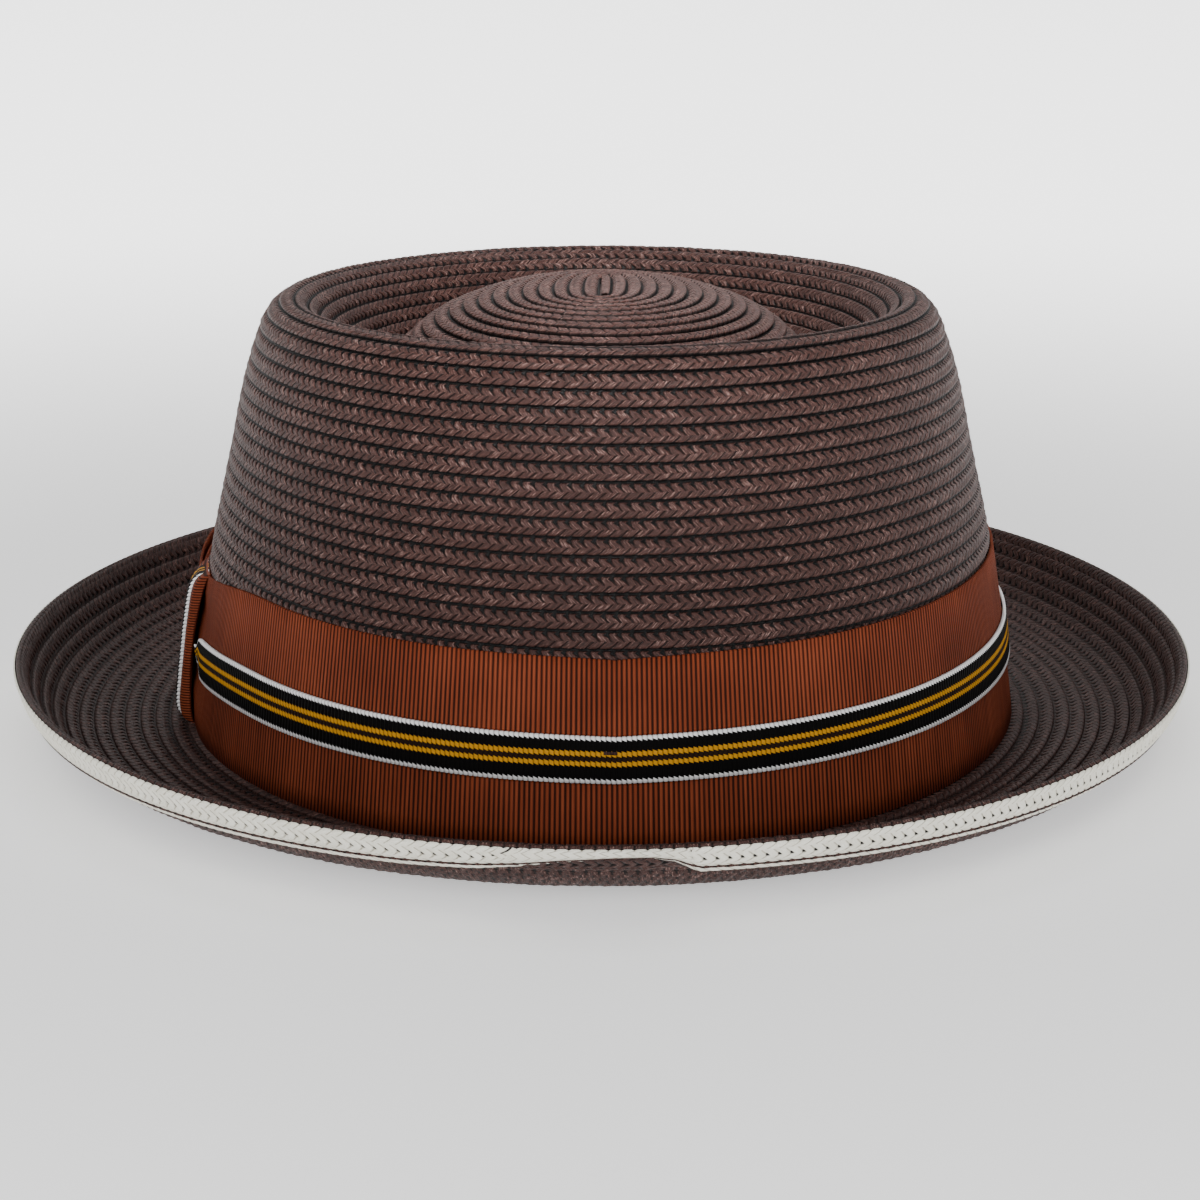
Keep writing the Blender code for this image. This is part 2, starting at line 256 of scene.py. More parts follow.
class WallFace:
    """One face of the hat's wall, addressed by a reach along its profile and an angle."""

    def __init__(self, form: HatForm, side: np.ndarray, end: np.ndarray) -> None:
        """Keep the profiles at the hat's sides and at its ends.

        Args:
            form: Sizes of the hat.
            side: Profile at the sides, from the inside of the hat outwards or from the tip down.
            end: The same profile at the ends, with as many points.
        """
        self.form = form
        self.side = smooth_line(side)
        self.end = smooth_line(end)
        self.reach = (running_length(self.side) + running_length(self.end)) / 2

    @property
    def span(self) -> float:
        """Length of the profile."""
        return float(self.reach[-1])

    def profile(self, reach: np.ndarray, angle: np.ndarray) -> tuple[np.ndarray, np.ndarray]:
        """Distance outside the head oval, and height, at a reach and an angle."""
        share = np.sin(angle) ** 2
        values = []
        for column in (0, 1):
            side = np.interp(reach, self.reach, self.side[:, column])
            end = np.interp(reach, self.reach, self.end[:, column])
            values.append(side + (end - side) * share)
        return values[0], values[1]

    def point(self, reach: np.ndarray, angle: np.ndarray) -> np.ndarray:
        """Points of the face."""
        out, up = self.profile(reach, angle)
        return self.form.place(out, up, angle)

    def raised(self, reach: np.ndarray, angle: np.ndarray, height: np.ndarray) -> np.ndarray:
        """Points at a height off the face, towards the outside of the hat."""
        here = self.point(reach, angle)
        inward = self.point(reach - 0.4 * MM, angle) - self.point(reach + 0.4 * MM, angle)
        along = self.point(reach, angle + 0.002) - self.point(reach, angle - 0.002)
        normal = np.cross(along, inward)
        size = np.linalg.norm(normal, axis=-1, keepdims=True)
        normal = np.where(size > 1e-12, normal / np.maximum(size, 1e-12), np.array([0.0, 0.0, 1.0]))
        return here + normal * height[..., None]


def paired(first: np.ndarray, second: np.ndarray) -> np.ndarray:
    """Two arrays, spread to one shape, as the last axis of one array."""
    return np.stack(np.broadcast_arrays(first, second), axis=-1)


def shape_grid(name: str, points: np.ndarray, uv: np.ndarray, closed: bool = False) -> bpy.types.Object:
    """Bend a bmesh grid into a piece.

    Args:
        name: The piece's name.
        points: Places of the grid's vertices, rows by columns by 3.
        uv: Their UV coordinates, rows by columns by 2.
        closed: Whether seams are merged, open ends filled and normals recalculated.

    Returns:
        The new object.
    """
    rows, columns = points.shape[:2]
    builder = bmesh.new()
    builder.loops.layers.uv.new("UVMap")
    bmesh.ops.create_grid(builder, x_segments=columns - 1, y_segments=rows - 1, size=1.0)
    mesh = bpy.data.meshes.new(name)
    builder.to_mesh(mesh)
    builder.free()
    mesh.vertices.foreach_set("co", points.reshape(-1).astype(np.float32))
    corner = np.empty(len(mesh.loops), dtype=np.int32)
    mesh.loops.foreach_get("vertex_index", corner)
    mesh.uv_layers["UVMap"].data.foreach_set("uv", uv.reshape(-1, 2)[corner].reshape(-1).astype(np.float32))
    if closed:
        builder = bmesh.new()
        builder.from_mesh(mesh)
        bmesh.ops.remove_doubles(builder, verts=builder.verts, dist=MERGE)
        bmesh.ops.holes_fill(builder, edges=[edge for edge in builder.edges if edge.is_boundary], sides=0)
        bmesh.ops.recalc_face_normals(builder, faces=builder.faces)
        builder.to_mesh(mesh)
        builder.free()
    mesh.update()
    mesh.shade_smooth()
    piece = bpy.data.objects.new(name, mesh)
    bpy.context.scene.collection.objects.link(piece)
    return piece


def linear(code: str) -> tuple[float, float, float, float]:
    """Linear colour of an sRGB hex code."""
    values = [int(code[index:index + 2], 16) / 255 for index in (0, 2, 4)]
    return (*(v / 12.92 if v <= 0.04045 else ((v + 0.055) / 1.055) ** 2.4 for v in values), 1.0)


def add_node(tree: bpy.types.NodeTree, kind: str, inputs: dict | None = None, **settings) -> bpy.types.Node:
    """Add a node with its settings and links.

    Args:
        tree: The material's node tree.
        kind: The node's type, after the word ShaderNode.
        inputs: Values, or nodes and sockets to link, by input name or index.
        **settings: Properties of the node.

    Returns:
        The new node.
    """
    node = tree.nodes.new("ShaderNode" + kind)
    for name, value in settings.items():
        setattr(node, name, value)
    for key, value in (inputs or {}).items():
        if isinstance(value, bpy.types.Node):
            tree.links.new(value.outputs[0], node.inputs[key])
        elif isinstance(value, bpy.types.NodeSocket):
            tree.links.new(value, node.inputs[key])
        else:
            node.inputs[key].default_value = value
    return node


def start_finish(name: str) -> tuple[bpy.types.Material, bpy.types.Node, bpy.types.Node]:
    """Start a material that follows a piece's own UV map.

    Args:
        name: The material's name.

    Returns:
        The material, its shader and the node that gives U and V.
    """
    finish = bpy.data.materials.new(name)
    finish.use_nodes = True
    place = add_node(finish.node_tree, "UVMap", uv_map="UVMap")
    parts = add_node(finish.node_tree, "SeparateXYZ", {0: place})
    return finish, finish.node_tree.nodes["Principled BSDF"], parts


def colour_ramp(
    tree: bpy.types.NodeTree, value: bpy.types.Node, stops: tuple[tuple[float, str], ...], steps: bool = False
) -> bpy.types.Node:
    """Turn a value into a colour.

    Args:
        tree: The material's node tree.
        value: What is looked up.
        stops: Positions and sRGB codes; the first two move the ramp's own stops.
        steps: Whether each colour holds up to the next stop.

    Returns:
        The ramp.
    """
    ramp = add_node(tree, "ValToRGB", {0: value})
    elements = ramp.color_ramp.elements
    if steps:
        ramp.color_ramp.interpolation = "CONSTANT"
    for index, (place, code) in enumerate(stops):
        element = elements[index] if index < 2 else elements.new(place)
        element.position = place
        element.color = linear(code)
    return ramp


def from_middle(
    tree: bpy.types.NodeTree, count: bpy.types.Node | bpy.types.NodeSocket
) -> list[bpy.types.Node]:
    """Place within each strap or rib that is counted, from its middle: signed, and as a distance."""
    part = add_node(tree, "Math", {0: count}, operation="FRACT")
    signed = add_node(tree, "Math", {0: part, 1: 0.5}, operation="SUBTRACT")
    return [signed, add_node(tree, "Math", {0: signed}, operation="ABSOLUTE")]


@dataclass(frozen=True)
class PlaitedStraw:
    """Flat plait of fine straw straps: grains meet along its middle, with a hole between each pair."""

    name: str
    base: str
    light: str
    dark: str
    crease_shade: str
    hole_and_lap_shade: str
    groove_shade: float
    hole_size: float
    roughness: float
    specular: float
    tint: float
    fibre: float
    lap_shade: float
    groove_start: float = 0.38
    lightness: float = 0.20
    cloud: float = 0.07
    bump: float = 0.30 * MM

    # Noise cells for each strap along the braid, across it, and between the middle and the edges
    fibres_across = (8.0, 2.2, 3.0)

    def material(self, braid: "BraidSize") -> bpy.types.Material:
        """Build the material for a braid of one size.

        Args:
            braid: Sizes that set the pattern's scale; U counts straps and V counts strap widths.

        Returns:
            The finished material.
        """
        result, shader, uv = start_finish(self.name)
        tree = result.node_tree
        middle = braid.middle / braid.strap
        across = add_node(tree, "Math", {0: uv.outputs[1], 1: middle}, operation="SUBTRACT")
        arm = add_node(tree, "Math", {0: across}, operation="ABSOLUTE")
        half = add_node(tree, "Math", {0: arm, 1: braid.turn_back / braid.strap}, operation="GREATER_THAN")
        # The straps that turn back along both edges lie half a strap off the grains in the middle
        count = add_node(tree, "Math", {0: half, 1: 0.5, 2: uv.outputs[0]}, operation="MULTIPLY_ADD")
        away = from_middle(tree, count)[1]
        groove = add_node(
            tree, "MapRange", {0: away, 1: self.groove_start, 2: 0.49, 3: 0.0, 4: 1.0},
            interpolation_type="SMOOTHSTEP",
        )
        near = add_node(tree, "Math", {0: 0.5, 1: away}, operation="SUBTRACT")
        spot = add_node(tree, "CombineXYZ", {0: near, 1: across})
        reach = add_node(tree, "VectorMath", {0: spot}, operation="LENGTH")
        # Painted shade in the hole between each pair of grains; its mask is coloured near black below
        hole = add_node(
            tree, "MapRange",
            {0: reach.outputs["Value"], 1: self.hole_size * 0.5, 2: self.hole_size, 3: 1.0, 4: 0.0},
            interpolation_type="SMOOTHSTEP",
        )
        whole = add_node(tree, "Math", {0: count}, operation="FLOOR")
        strap = add_node(tree, "Math", {0: half, 1: 0.37, 2: whole}, operation="MULTIPLY_ADD")
        chance = add_node(tree, "TexWhiteNoise", {"W": strap}, noise_dimensions="1D")
        spot = add_node(tree, "CombineXYZ", {0: count, 1: arm, 2: half})
        fine = add_node(tree, "VectorMath", {0: spot, 1: self.fibres_across}, operation="MULTIPLY")
        fibre = add_node(tree, "TexNoise", {"Vector": fine, "Scale": 1.0, "Detail": 2.0, "Roughness": 0.6})
        cloud = add_node(
            tree, "TexNoise",
            {"Vector": add_node(tree, "TexCoord").outputs["Object"], "Scale": 55.0, "Detail": 3.0},
        )
        shade = {0: fibre.outputs[0], 1: self.fibre, 2: -self.fibre / 2}
        shade = add_node(tree, "Math", shade, operation="MULTIPLY_ADD")
        shade = {0: chance.outputs[0], 1: self.tint, 2: shade}
        shade = add_node(tree, "Math", shade, operation="MULTIPLY_ADD")
        shade = add_node(tree, "Math", {0: shade, 1: self.lightness})
        shade = {0: cloud.outputs[0], 1: self.cloud, 2: shade}
        shade = add_node(tree, "Math", shade, operation="MULTIPLY_ADD")
        ramp = colour_ramp(tree, shade, ((0.0, self.dark), (0.75, self.light), (0.36, self.base)))
        # Painted shade in the creases between straps, mixed in with the crease colour
        crease_shade = add_node(tree, "Math", {0: groove, 1: self.groove_shade}, operation="MULTIPLY")
        # Painted shade on the row just under the next row's free edge, and, in the next mask, along each free
        # edge's underside; both take the near-black hole colour
        lap = add_node(
            tree, "MapRange",
            {0: uv.outputs[1], 1: braid.lap_shade_start / braid.strap, 2: braid.lap_shade_full / braid.strap, 3: 0.0,
             4: self.lap_shade},
            interpolation_type="SMOOTHSTEP",
        )
        shaded_hem = add_node(
            tree, "MapRange",
            {0: uv.outputs[1], 1: 0.0, 2: braid.shaded_hem / braid.strap, 3: self.lap_shade, 4: 0.0},
        )
        lap = add_node(tree, "Math", {0: shaded_hem, 1: lap}, operation="MAXIMUM")
        hole_and_lap_shade = add_node(tree, "Math", {0: hole, 1: lap}, operation="MAXIMUM")
        gap = add_node(tree, "Math", {0: crease_shade, 1: hole_and_lap_shade}, operation="MAXIMUM")
        with_crease_shade = add_node(
            tree, "Mix", {0: crease_shade, 6: ramp, 7: linear(self.crease_shade)}, data_type="RGBA"
        )
        colour = add_node(
            tree, "Mix", {0: hole_and_lap_shade, 6: with_crease_shade.outputs[2], 7: linear(self.hole_and_lap_shade)}, data_type="RGBA"
        )
        tree.links.new(colour.outputs[2], shader.inputs["Base Color"])
        relief = add_node(tree, "Math", {0: gap, 1: -1.0, 2: fibre.outputs[0]}, operation="MULTIPLY_ADD")
        bump = add_node(tree, "Bump", {"Height": relief, "Distance": self.bump, "Strength": 0.8})
        tree.links.new(bump.outputs[0], shader.inputs["Normal"])
        shader.inputs["Roughness"].default_value = self.roughness
        shader.inputs["Specular IOR Level"].default_value = self.specular
        return result


@dataclass(frozen=True)
class Grosgrain:
    """Ribbed ribbon of matt viscose: a rib across it for each count of U."""

    name: str
    base: str
    light: str
    dark: str
    roughness: float = 0.72
    specular: float = 0.08
    groove_shade: float = 0.46
    bump: float = 0.12 * MM

    def material(self) -> bpy.types.Material:
        """Build the material; U counts ribs and V runs across the ribbon."""
        result, shader, uv = start_finish(self.name)
        tree = result.node_tree
        away = from_middle(tree, uv.outputs[0])[1]
        groove = add_node(
            tree, "MapRange", {0: away, 1: 0.14, 2: 0.42, 3: 0.0, 4: 1.0}, interpolation_type="SMOOTHSTEP"
        )
        spot = add_node(tree, "CombineXYZ", {0: uv.outputs[0], 1: uv.outputs[1]})
        fine = add_node(tree, "VectorMath", {0: spot, 1: (2.0, 1.2, 1.0)}, operation="MULTIPLY")
        thread = add_node(tree, "TexNoise", {"Vector": fine, "Scale": 1.0, "Detail": 3.0, "Roughness": 0.65})
        cloud = add_node(
            tree, "TexNoise",
            {"Vector": add_node(tree, "TexCoord").outputs["Object"], "Scale": 45.0, "Detail": 2.0},
        )
        shade = add_node(tree, "Math", {0: thread.outputs[0], 1: 0.55, 2: 0.02}, operation="MULTIPLY_ADD")
        shade = add_node(tree, "Math", {0: cloud.outputs[0], 1: 0.4, 2: shade}, operation="MULTIPLY_ADD")
        # Painted shade: the grooves between ribs pull the colour down towards the dark end of the ramp
        shade = add_node(tree, "Math", {0: groove, 1: -self.groove_shade, 2: shade}, operation="MULTIPLY_ADD")
        ramp = colour_ramp(tree, shade, ((0.05, self.dark), (0.85, self.light), (0.45, self.base)))
        tree.links.new(ramp.outputs[0], shader.inputs["Base Color"])
        relief = add_node(tree, "Math", {0: groove, 1: -1.0, 2: thread.outputs[0]}, operation="MULTIPLY_ADD")
        bump = add_node(tree, "Bump", {"Height": relief, "Distance": self.bump, "Strength": 0.7})
        tree.links.new(bump.outputs[0], shader.inputs["Normal"])
        shader.inputs["Roughness"].default_value = self.roughness
        shader.inputs["Specular IOR Level"].default_value = self.specular
        return result


@dataclass(frozen=True)
class StripedRibbon:
    """Narrow woven ribbon with lengthwise stripes and a beaded edge; V runs up from its lower edge."""

    name: str
    stripes: tuple[tuple[float, str], ...]
    roughness: float = 0.62
    specular: float = 0.05
    bead: float = 0.045
    groove_shade: float = 0.45
    bump: float = 0.15 * MM

    def material(self) -> bpy.types.Material:
        """Build the material; U counts its fine ribs."""
        result, shader, uv = start_finish(self.name)
        tree = result.node_tree
        middle, away = from_middle(tree, uv.outputs[0])
        # Each rib pushes the warp colours a little over their neighbours, which leaves a beaded border
        place = add_node(tree, "Math", {0: middle, 1: self.bead, 2: uv.outputs[1]}, operation="MULTIPLY_ADD")
        ramp = colour_ramp(tree, place, self.stripes, steps=True)
        groove = add_node(
            tree, "MapRange", {0: away, 1: 0.24, 2: 0.50, 3: 0.0, 4: 1.0}, interpolation_type="SMOOTHSTEP"
        )
        # Painted shade in the grooves between ribs, mixed towards near black
        crease_shade = add_node(tree, "Math", {0: groove, 1: self.groove_shade}, operation="MULTIPLY")
        colour = add_node(tree, "Mix", {0: crease_shade, 6: ramp, 7: linear("0a0807")}, data_type="RGBA")
        tree.links.new(colour.outputs[2], shader.inputs["Base Color"])
        relief = {"Height": groove, "Distance": self.bump, "Strength": 0.7}
        bump = add_node(tree, "Bump", relief, invert=True)
        tree.links.new(bump.outputs[0], shader.inputs["Normal"])
        shader.inputs["Roughness"].default_value = self.roughness
        shader.inputs["Specular IOR Level"].default_value = self.specular
        return result


@dataclass(frozen=True)
class BraidSize:
    """Real sizes of the plait, and how a row lies on the wall."""

    width: float = 4.76 * MM
    pitch: float = 3.11 * MM
    pitch_middle: float = 1.5 * MM
    strap: float = 2.24 * MM
    slant: float = 0.95
    edge_slant: float = 1.2
    turn_back: float = 1.13 * MM
    thickness: float = 0.98 * MM
    sink: float = 0.45 * MM
    groove: float = 0.15 * MM
    hole: float = 0.38 * MM
    scallop: float = 0.14 * MM
    jitter: float = 0.05 * MM
    wander: float = 0.08 * MM
    # Widths of painted shade: a band along each free edge, and a band under the next row's free edge that
    # starts and is full at these distances
    shaded_hem: float = 0.10 * MM
    lap_shade_start: float = 2.54 * MM
    lap_shade_full: float = 2.80 * MM

    @property
    def middle(self) -> float:
        """Distance from the free edge to the line of holes."""
        return self.width / 2

    def zigzag(self, across: np.ndarray) -> np.ndarray:
        """Shift along the braid of a strap's edge: out from the holes one way, then back along both edges."""
        away = np.abs(across - self.middle)
        back = self.turn_back - self.edge_slant * (away - self.turn_back)
        return self.slant * np.where(away < self.turn_back, away, back)

    def in_edge(self, across: np.ndarray) -> np.ndarray:
        """Whether a line lies where the straps turn back along an edge."""
        return np.abs(across - self.middle) > self.turn_back + 0.05 * MM


@dataclass(frozen=True)
class RowShape:
    """Cross-section of a lapped row: distance from its free edge, and share of its thickness, in order."""

    across: tuple[float, ...]
    lift: tuple[float, ...]

    @classmethod
    def fine(cls) -> "RowShape":
        """Section with a rolled free edge, for rows that are seen from near."""
        return cls(
            (-0.02, 0.03, 0.55, 1.25, 1.85, 2.38, 2.95, 3.62),
            (0.14, 0.82, 1.0, 0.80, 0.94, 0.58, 0.40, 0.0),
        )

    @classmethod
    def brim(cls) -> "RowShape":
        """Flatter section of the pressed rows on the brim."""
        return cls((-0.02, 0.03, 0.55, 1.55, 2.38, 2.95, 3.62), (0.14, 0.82, 1.0, 0.90, 0.58, 0.40, 0.0))

    @classmethod
    def plain(cls) -> "RowShape":
        """Section for rows that are seen less."""
        return cls((0.35, 0.0, 0.55, 2.38, 3.5), (0.04, 0.72, 1.0, 0.5, 0.0))

    @classmethod
    def smooth(cls) -> "RowShape":
        """Section for rows inside the hat, whose plait is left to the finish."""
        return cls((0.0, 0.45, 2.38, 3.5), (0.08, 1.0, 0.7, 0.0))


@dataclass
class BraidSheet:
    """Rows of one braid that winds round a face of the wall."""

    names: tuple[str, ...]
    face: WallFace
    braid: BraidSize
    facing: Facing
    rows: tuple[float, ...]
    origin: float
    pitch: float
    limit: float | None = None
    per_strap: int = 4
    shape: RowShape = RowShape.fine()
    seed: int = 1
    fuller_before: float = -99.0
    fuller: float = 1.35
    wave_straps: int = 10

    def edge_reach(self, turn: np.ndarray) -> np.ndarray:
        """Reach of the row's free edge after a number of turns."""
        reach = self.origin + self.pitch * turn
        return reach if self.limit is None else np.minimum(reach, self.limit)

    def build(self, material: bpy.types.Material) -> list[bpy.types.Object]:
        """Wind the braid and cut it into pieces.

        Args:
            material: Finish of the braid.

        Returns:
            The pieces, which follow on from each other without a seam.
        """
        braid = self.braid
        side = self.facing.value
        steps = int((self.rows[-1] - self.rows[0]) * (ONCE_ROUND // 2)) + 2
        turn = np.linspace(self.rows[0], self.rows[-1], steps)
        middle = self.edge_reach(turn) - side * self.braid.pitch_middle
        track = running_length(self.face.point(middle, BACK + 2 * pi * turn))
        straps = int(track[-1] / braid.strap)
        random = np.random.default_rng(self.seed)
        chance = random.uniform(-1, 1, straps + 2)
        waves = random.uniform(-1, 1, straps // self.wave_straps + 3)
        ends = [int(np.interp(row, turn, track) / braid.strap) * self.per_strap for row in self.rows]
        across = np.array(self.shape.across) * MM
        share = np.array(self.shape.lift)[:, None]
        top = share > 0.5
        by_holes = (np.abs(across - braid.middle) < 0.5 * MM)[:, None]
        edge = (across < 0.2 * MM)[:, None]
        pieces = []
        for name, first, last in zip(self.names, ends, ends[1:]):
            column = np.arange(first, last + 1)
            along = column / self.per_strap + braid.zigzag(across)[:, None] / braid.strap
            spot = np.interp(along * braid.strap, track, turn)
            half_strap = np.where(braid.in_edge(across), self.per_strap // 2, 0)[:, None]
            seam = ((column + half_strap) % self.per_strap == 0) & (self.per_strap > 1)
            wave = np.interp(column / self.per_strap / self.wave_straps, np.arange(len(waves)), waves)
            thinned = ease(self.fuller_before - 2.0, self.fuller_before, spot)
            fuller = self.fuller - (self.fuller - 1) * thinned
            lift = braid.thickness * fuller * share - np.where(seam & top, braid.groove, 0.0)
            lift = lift - np.where(seam & by_holes, braid.hole, 0.0)
            lift += np.where(top, braid.jitter * chance[column // self.per_strap], 0.0)
            ragged = np.where(seam, braid.scallop, 0.0) + braid.wander * wave
            inset = across[:, None] + np.where(edge, ragged, 0.0)
            reach = self.edge_reach(spot) - side * inset
            points = self.face.raised(reach, BACK + 2 * pi * spot, side * (lift - braid.sink))
            uv = paired(column / self.per_strap, (across / braid.strap)[:, None])
            pieces.append(finish_piece(shape_grid(name, points, uv), material, "brown_braid", "braid_body"))
        return pieces


@dataclass
class BraidBody:
    """Crown, telescoped tip and brim, each face a run of the same braid."""

    form: HatForm
    braid: BraidSize
    back_line: float = 2.6 * MM
    tip_start: float = 1.6 * MM
    pressed_thickness: float = 0.78 * MM
    under_sink: float = 0.76 * MM
    edge_cover: float = 6.6 * MM

    def build(self, material: bpy.types.Material, pressed: bpy.types.Material) -> list[bpy.types.Object]:
        """Wind all the sheets of rows.

        Args:
            material: Finish of the brown braid.
            pressed: Its finish on the brim, where the rows are pressed flat.

        Returns:
            The pieces.
        """
        form = self.form
        braid = self.braid
        brim_points = len(form.brim_rows)
        outer = form.outer_profile(0.0)
        crown = WallFace(form, outer[brim_points:][::-1], outer[brim_points:][::-1])
        crest = float(np.interp(-form.taper, crown.side[:, 0], crown.reach))
        start = (self.tip_start - crest - self.back_line) / braid.pitch
        sheets = [BraidSheet(
            ("tip_braid", "crown_braid_high", "crown_braid_low"), crown, braid, Facing.OUTSIDE,
            (start, 0.0, 10.0, 20.0), crest + self.back_line, braid.pitch, seed=3, fuller_before=-4.5,
        )]
        foot = (crown.span - crest - self.back_line) / braid.pitch
        sheets.append(BraidSheet(
            ("crown_braid_foot",), crown, braid, Facing.OUTSIDE, (19.8, foot), crest + self.back_line,
            braid.pitch, per_strap=2, shape=RowShape.plain(), seed=5,
        ))
        brim = WallFace(form, form.brim_top(0.0), form.brim_top(1.0))
        rows = round(brim.span / braid.pitch)
        sheets.append(BraidSheet(
            ("brim_braid_inner", "brim_braid_outer"), brim, replace(braid, thickness=self.pressed_thickness),
            Facing.OUTSIDE, (1.2, rows / 2, rows + 0.985), 0.0, brim.span / rows, brim.span,
            shape=RowShape.brim(), seed=6,
        ))
        fold = np.array([[0.0, 1.0], [0.3, 0.3], [1.0, 0.0], [1.5, 0.0]]) * form.fold_radius
        under = WallFace(form, *(
            np.concatenate([fold, form.brim_under(end)[::-1], form.rim_wrap(end)]) for end in (0.0, 1.0)
        ))
        last = (under.span - self.edge_cover) / braid.pitch
        self.under = under
        sunk = replace(braid, thickness=self.pressed_thickness, sink=self.under_sink)
        sheets.append(BraidSheet(
            ("brim_braid_under",), under, sunk, Facing.INSIDE, (1.0, last), 0.0, braid.pitch, per_strap=2,
            shape=RowShape.plain(), seed=8,
        ))
        inside_line = np.concatenate([form.crown_inside()[::-1], [[0.0, form.fold_radius]]])
        inside = WallFace(form, inside_line, inside_line)
        rows = inside.span / braid.pitch
        sheets.append(BraidSheet(
            ("tip_inside_braid", "crown_inside_braid"), inside, braid, Facing.INSIDE, (1.2, rows / 2, rows),
            0.0, braid.pitch, per_strap=1, shape=RowShape.smooth(), seed=9,
        ))
        built = []
        for sheet in sheets:
            built += sheet.build(pressed if sheet.face is brim else material)
        return [*built, self.tip_centre(crown, material)]

    def tip_centre(self, crown: WallFace, material: bpy.types.Material) -> bpy.types.Object:
        """Folded end of the braid in the middle of the tip, under the first turns."""
        reach = np.linspace(0.0, 5.0, 11)[:, None] * MM
        angle = np.linspace(BACK, BACK + 2 * pi, 73)[None, :]
        reach, angle = np.broadcast_arrays(reach, angle)
        points = crown.raised(reach, angle, np.full(reach.shape, -0.25 * MM))
        uv = paired(angle * 4, reach / self.braid.strap)
        return finish_piece(shape_grid("tip_centre_braid", points, uv), material, "brown_braid", "braid_body")


@dataclass
class RimRoll:
    """Rounded outer edge of the brim, where the last row turns over the rim."""

    form: HatForm
    braid: BraidSize
    radius: float = 0.50 * MM
    steps: int = 6

    def build(self, material: bpy.types.Material) -> bpy.types.Object:
        """Roll the edge all round the rim.

        Args:
            material: Finish of the brown braid.

        Returns:
            The piece.
        """
        form = self.form
        angles = even_angles(form, form.brim_width, self.braid.strap / 3)
        share = (np.sin(angles) ** 2)[None, :, None]
        under = form.brim_under(0.0)[:2, None] * (1 - share) + form.brim_under(1.0)[:2, None] * share
        outward = (under[0] - under[1]) / np.linalg.norm(under[0] - under[1], axis=-1, keepdims=True)
        lift = np.stack([-outward[:, 1], outward[:, 0]], axis=-1)
        middle = under[0] + lift * form.wall / 2
        turn = np.linspace(-0.25 * pi, 0.6 * pi, self.steps)[:, None, None]
        swell = np.where(np.arange(len(angles)) % 3 == 0, 0.86, 1.0)[None, :, None]
        ring = middle + self.radius * swell * (np.cos(turn) * outward + np.sin(turn) * lift)
        points = form.place(ring[..., 0], ring[..., 1], angles[None, :])
        uv = paired(np.arange(len(angles))[None, :] / 3, np.linspace(0.1, 0.9, self.steps)[:, None])
        piece = shape_grid("brim_rim_braid", points, uv)
        return finish_piece(piece, material, "brown_braid", "braid_body")


def even_angles(form: HatForm, out: float, step: float) -> np.ndarray:
    """Angles once round an oval of the hat, evenly spaced along it.

    Args:
        form: Sizes of the hat.
        out: Distance of the oval outside the head oval.
        step: Wished spacing.

    Returns:
        Angles from the centre back round to the centre back.
    """
    dense = BACK + np.linspace(0, 2 * pi, ONCE_ROUND)
    track = running_length(form.place(np.full(dense.shape, out), np.zeros(dense.shape), dense))
    count = round(track[-1] / step / 12) * 12
    return np.interp(np.linspace(0, track[-1], count + 1), track, dense)


def finish_piece(
    piece: bpy.types.Object, material: bpy.types.Material, slot: str, *nodes: str
) -> bpy.types.Object:
    """Give a piece its finish and body, and hide the CAD nodes that it stands for."""
    piece.data.materials.append(material)
    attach(piece, "root")
    if nodes:
        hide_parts(*nodes)
    LOG.info("%s: %d faces", piece.name, len(piece.data.polygons))
    return piece


def join_size(braid: BraidSize) -> BraidSize:
    """Sizes of the brown braid where it shows full face at the edge's join."""
    return replace(braid, width=9.6 * MM, turn_back=1.6 * MM)


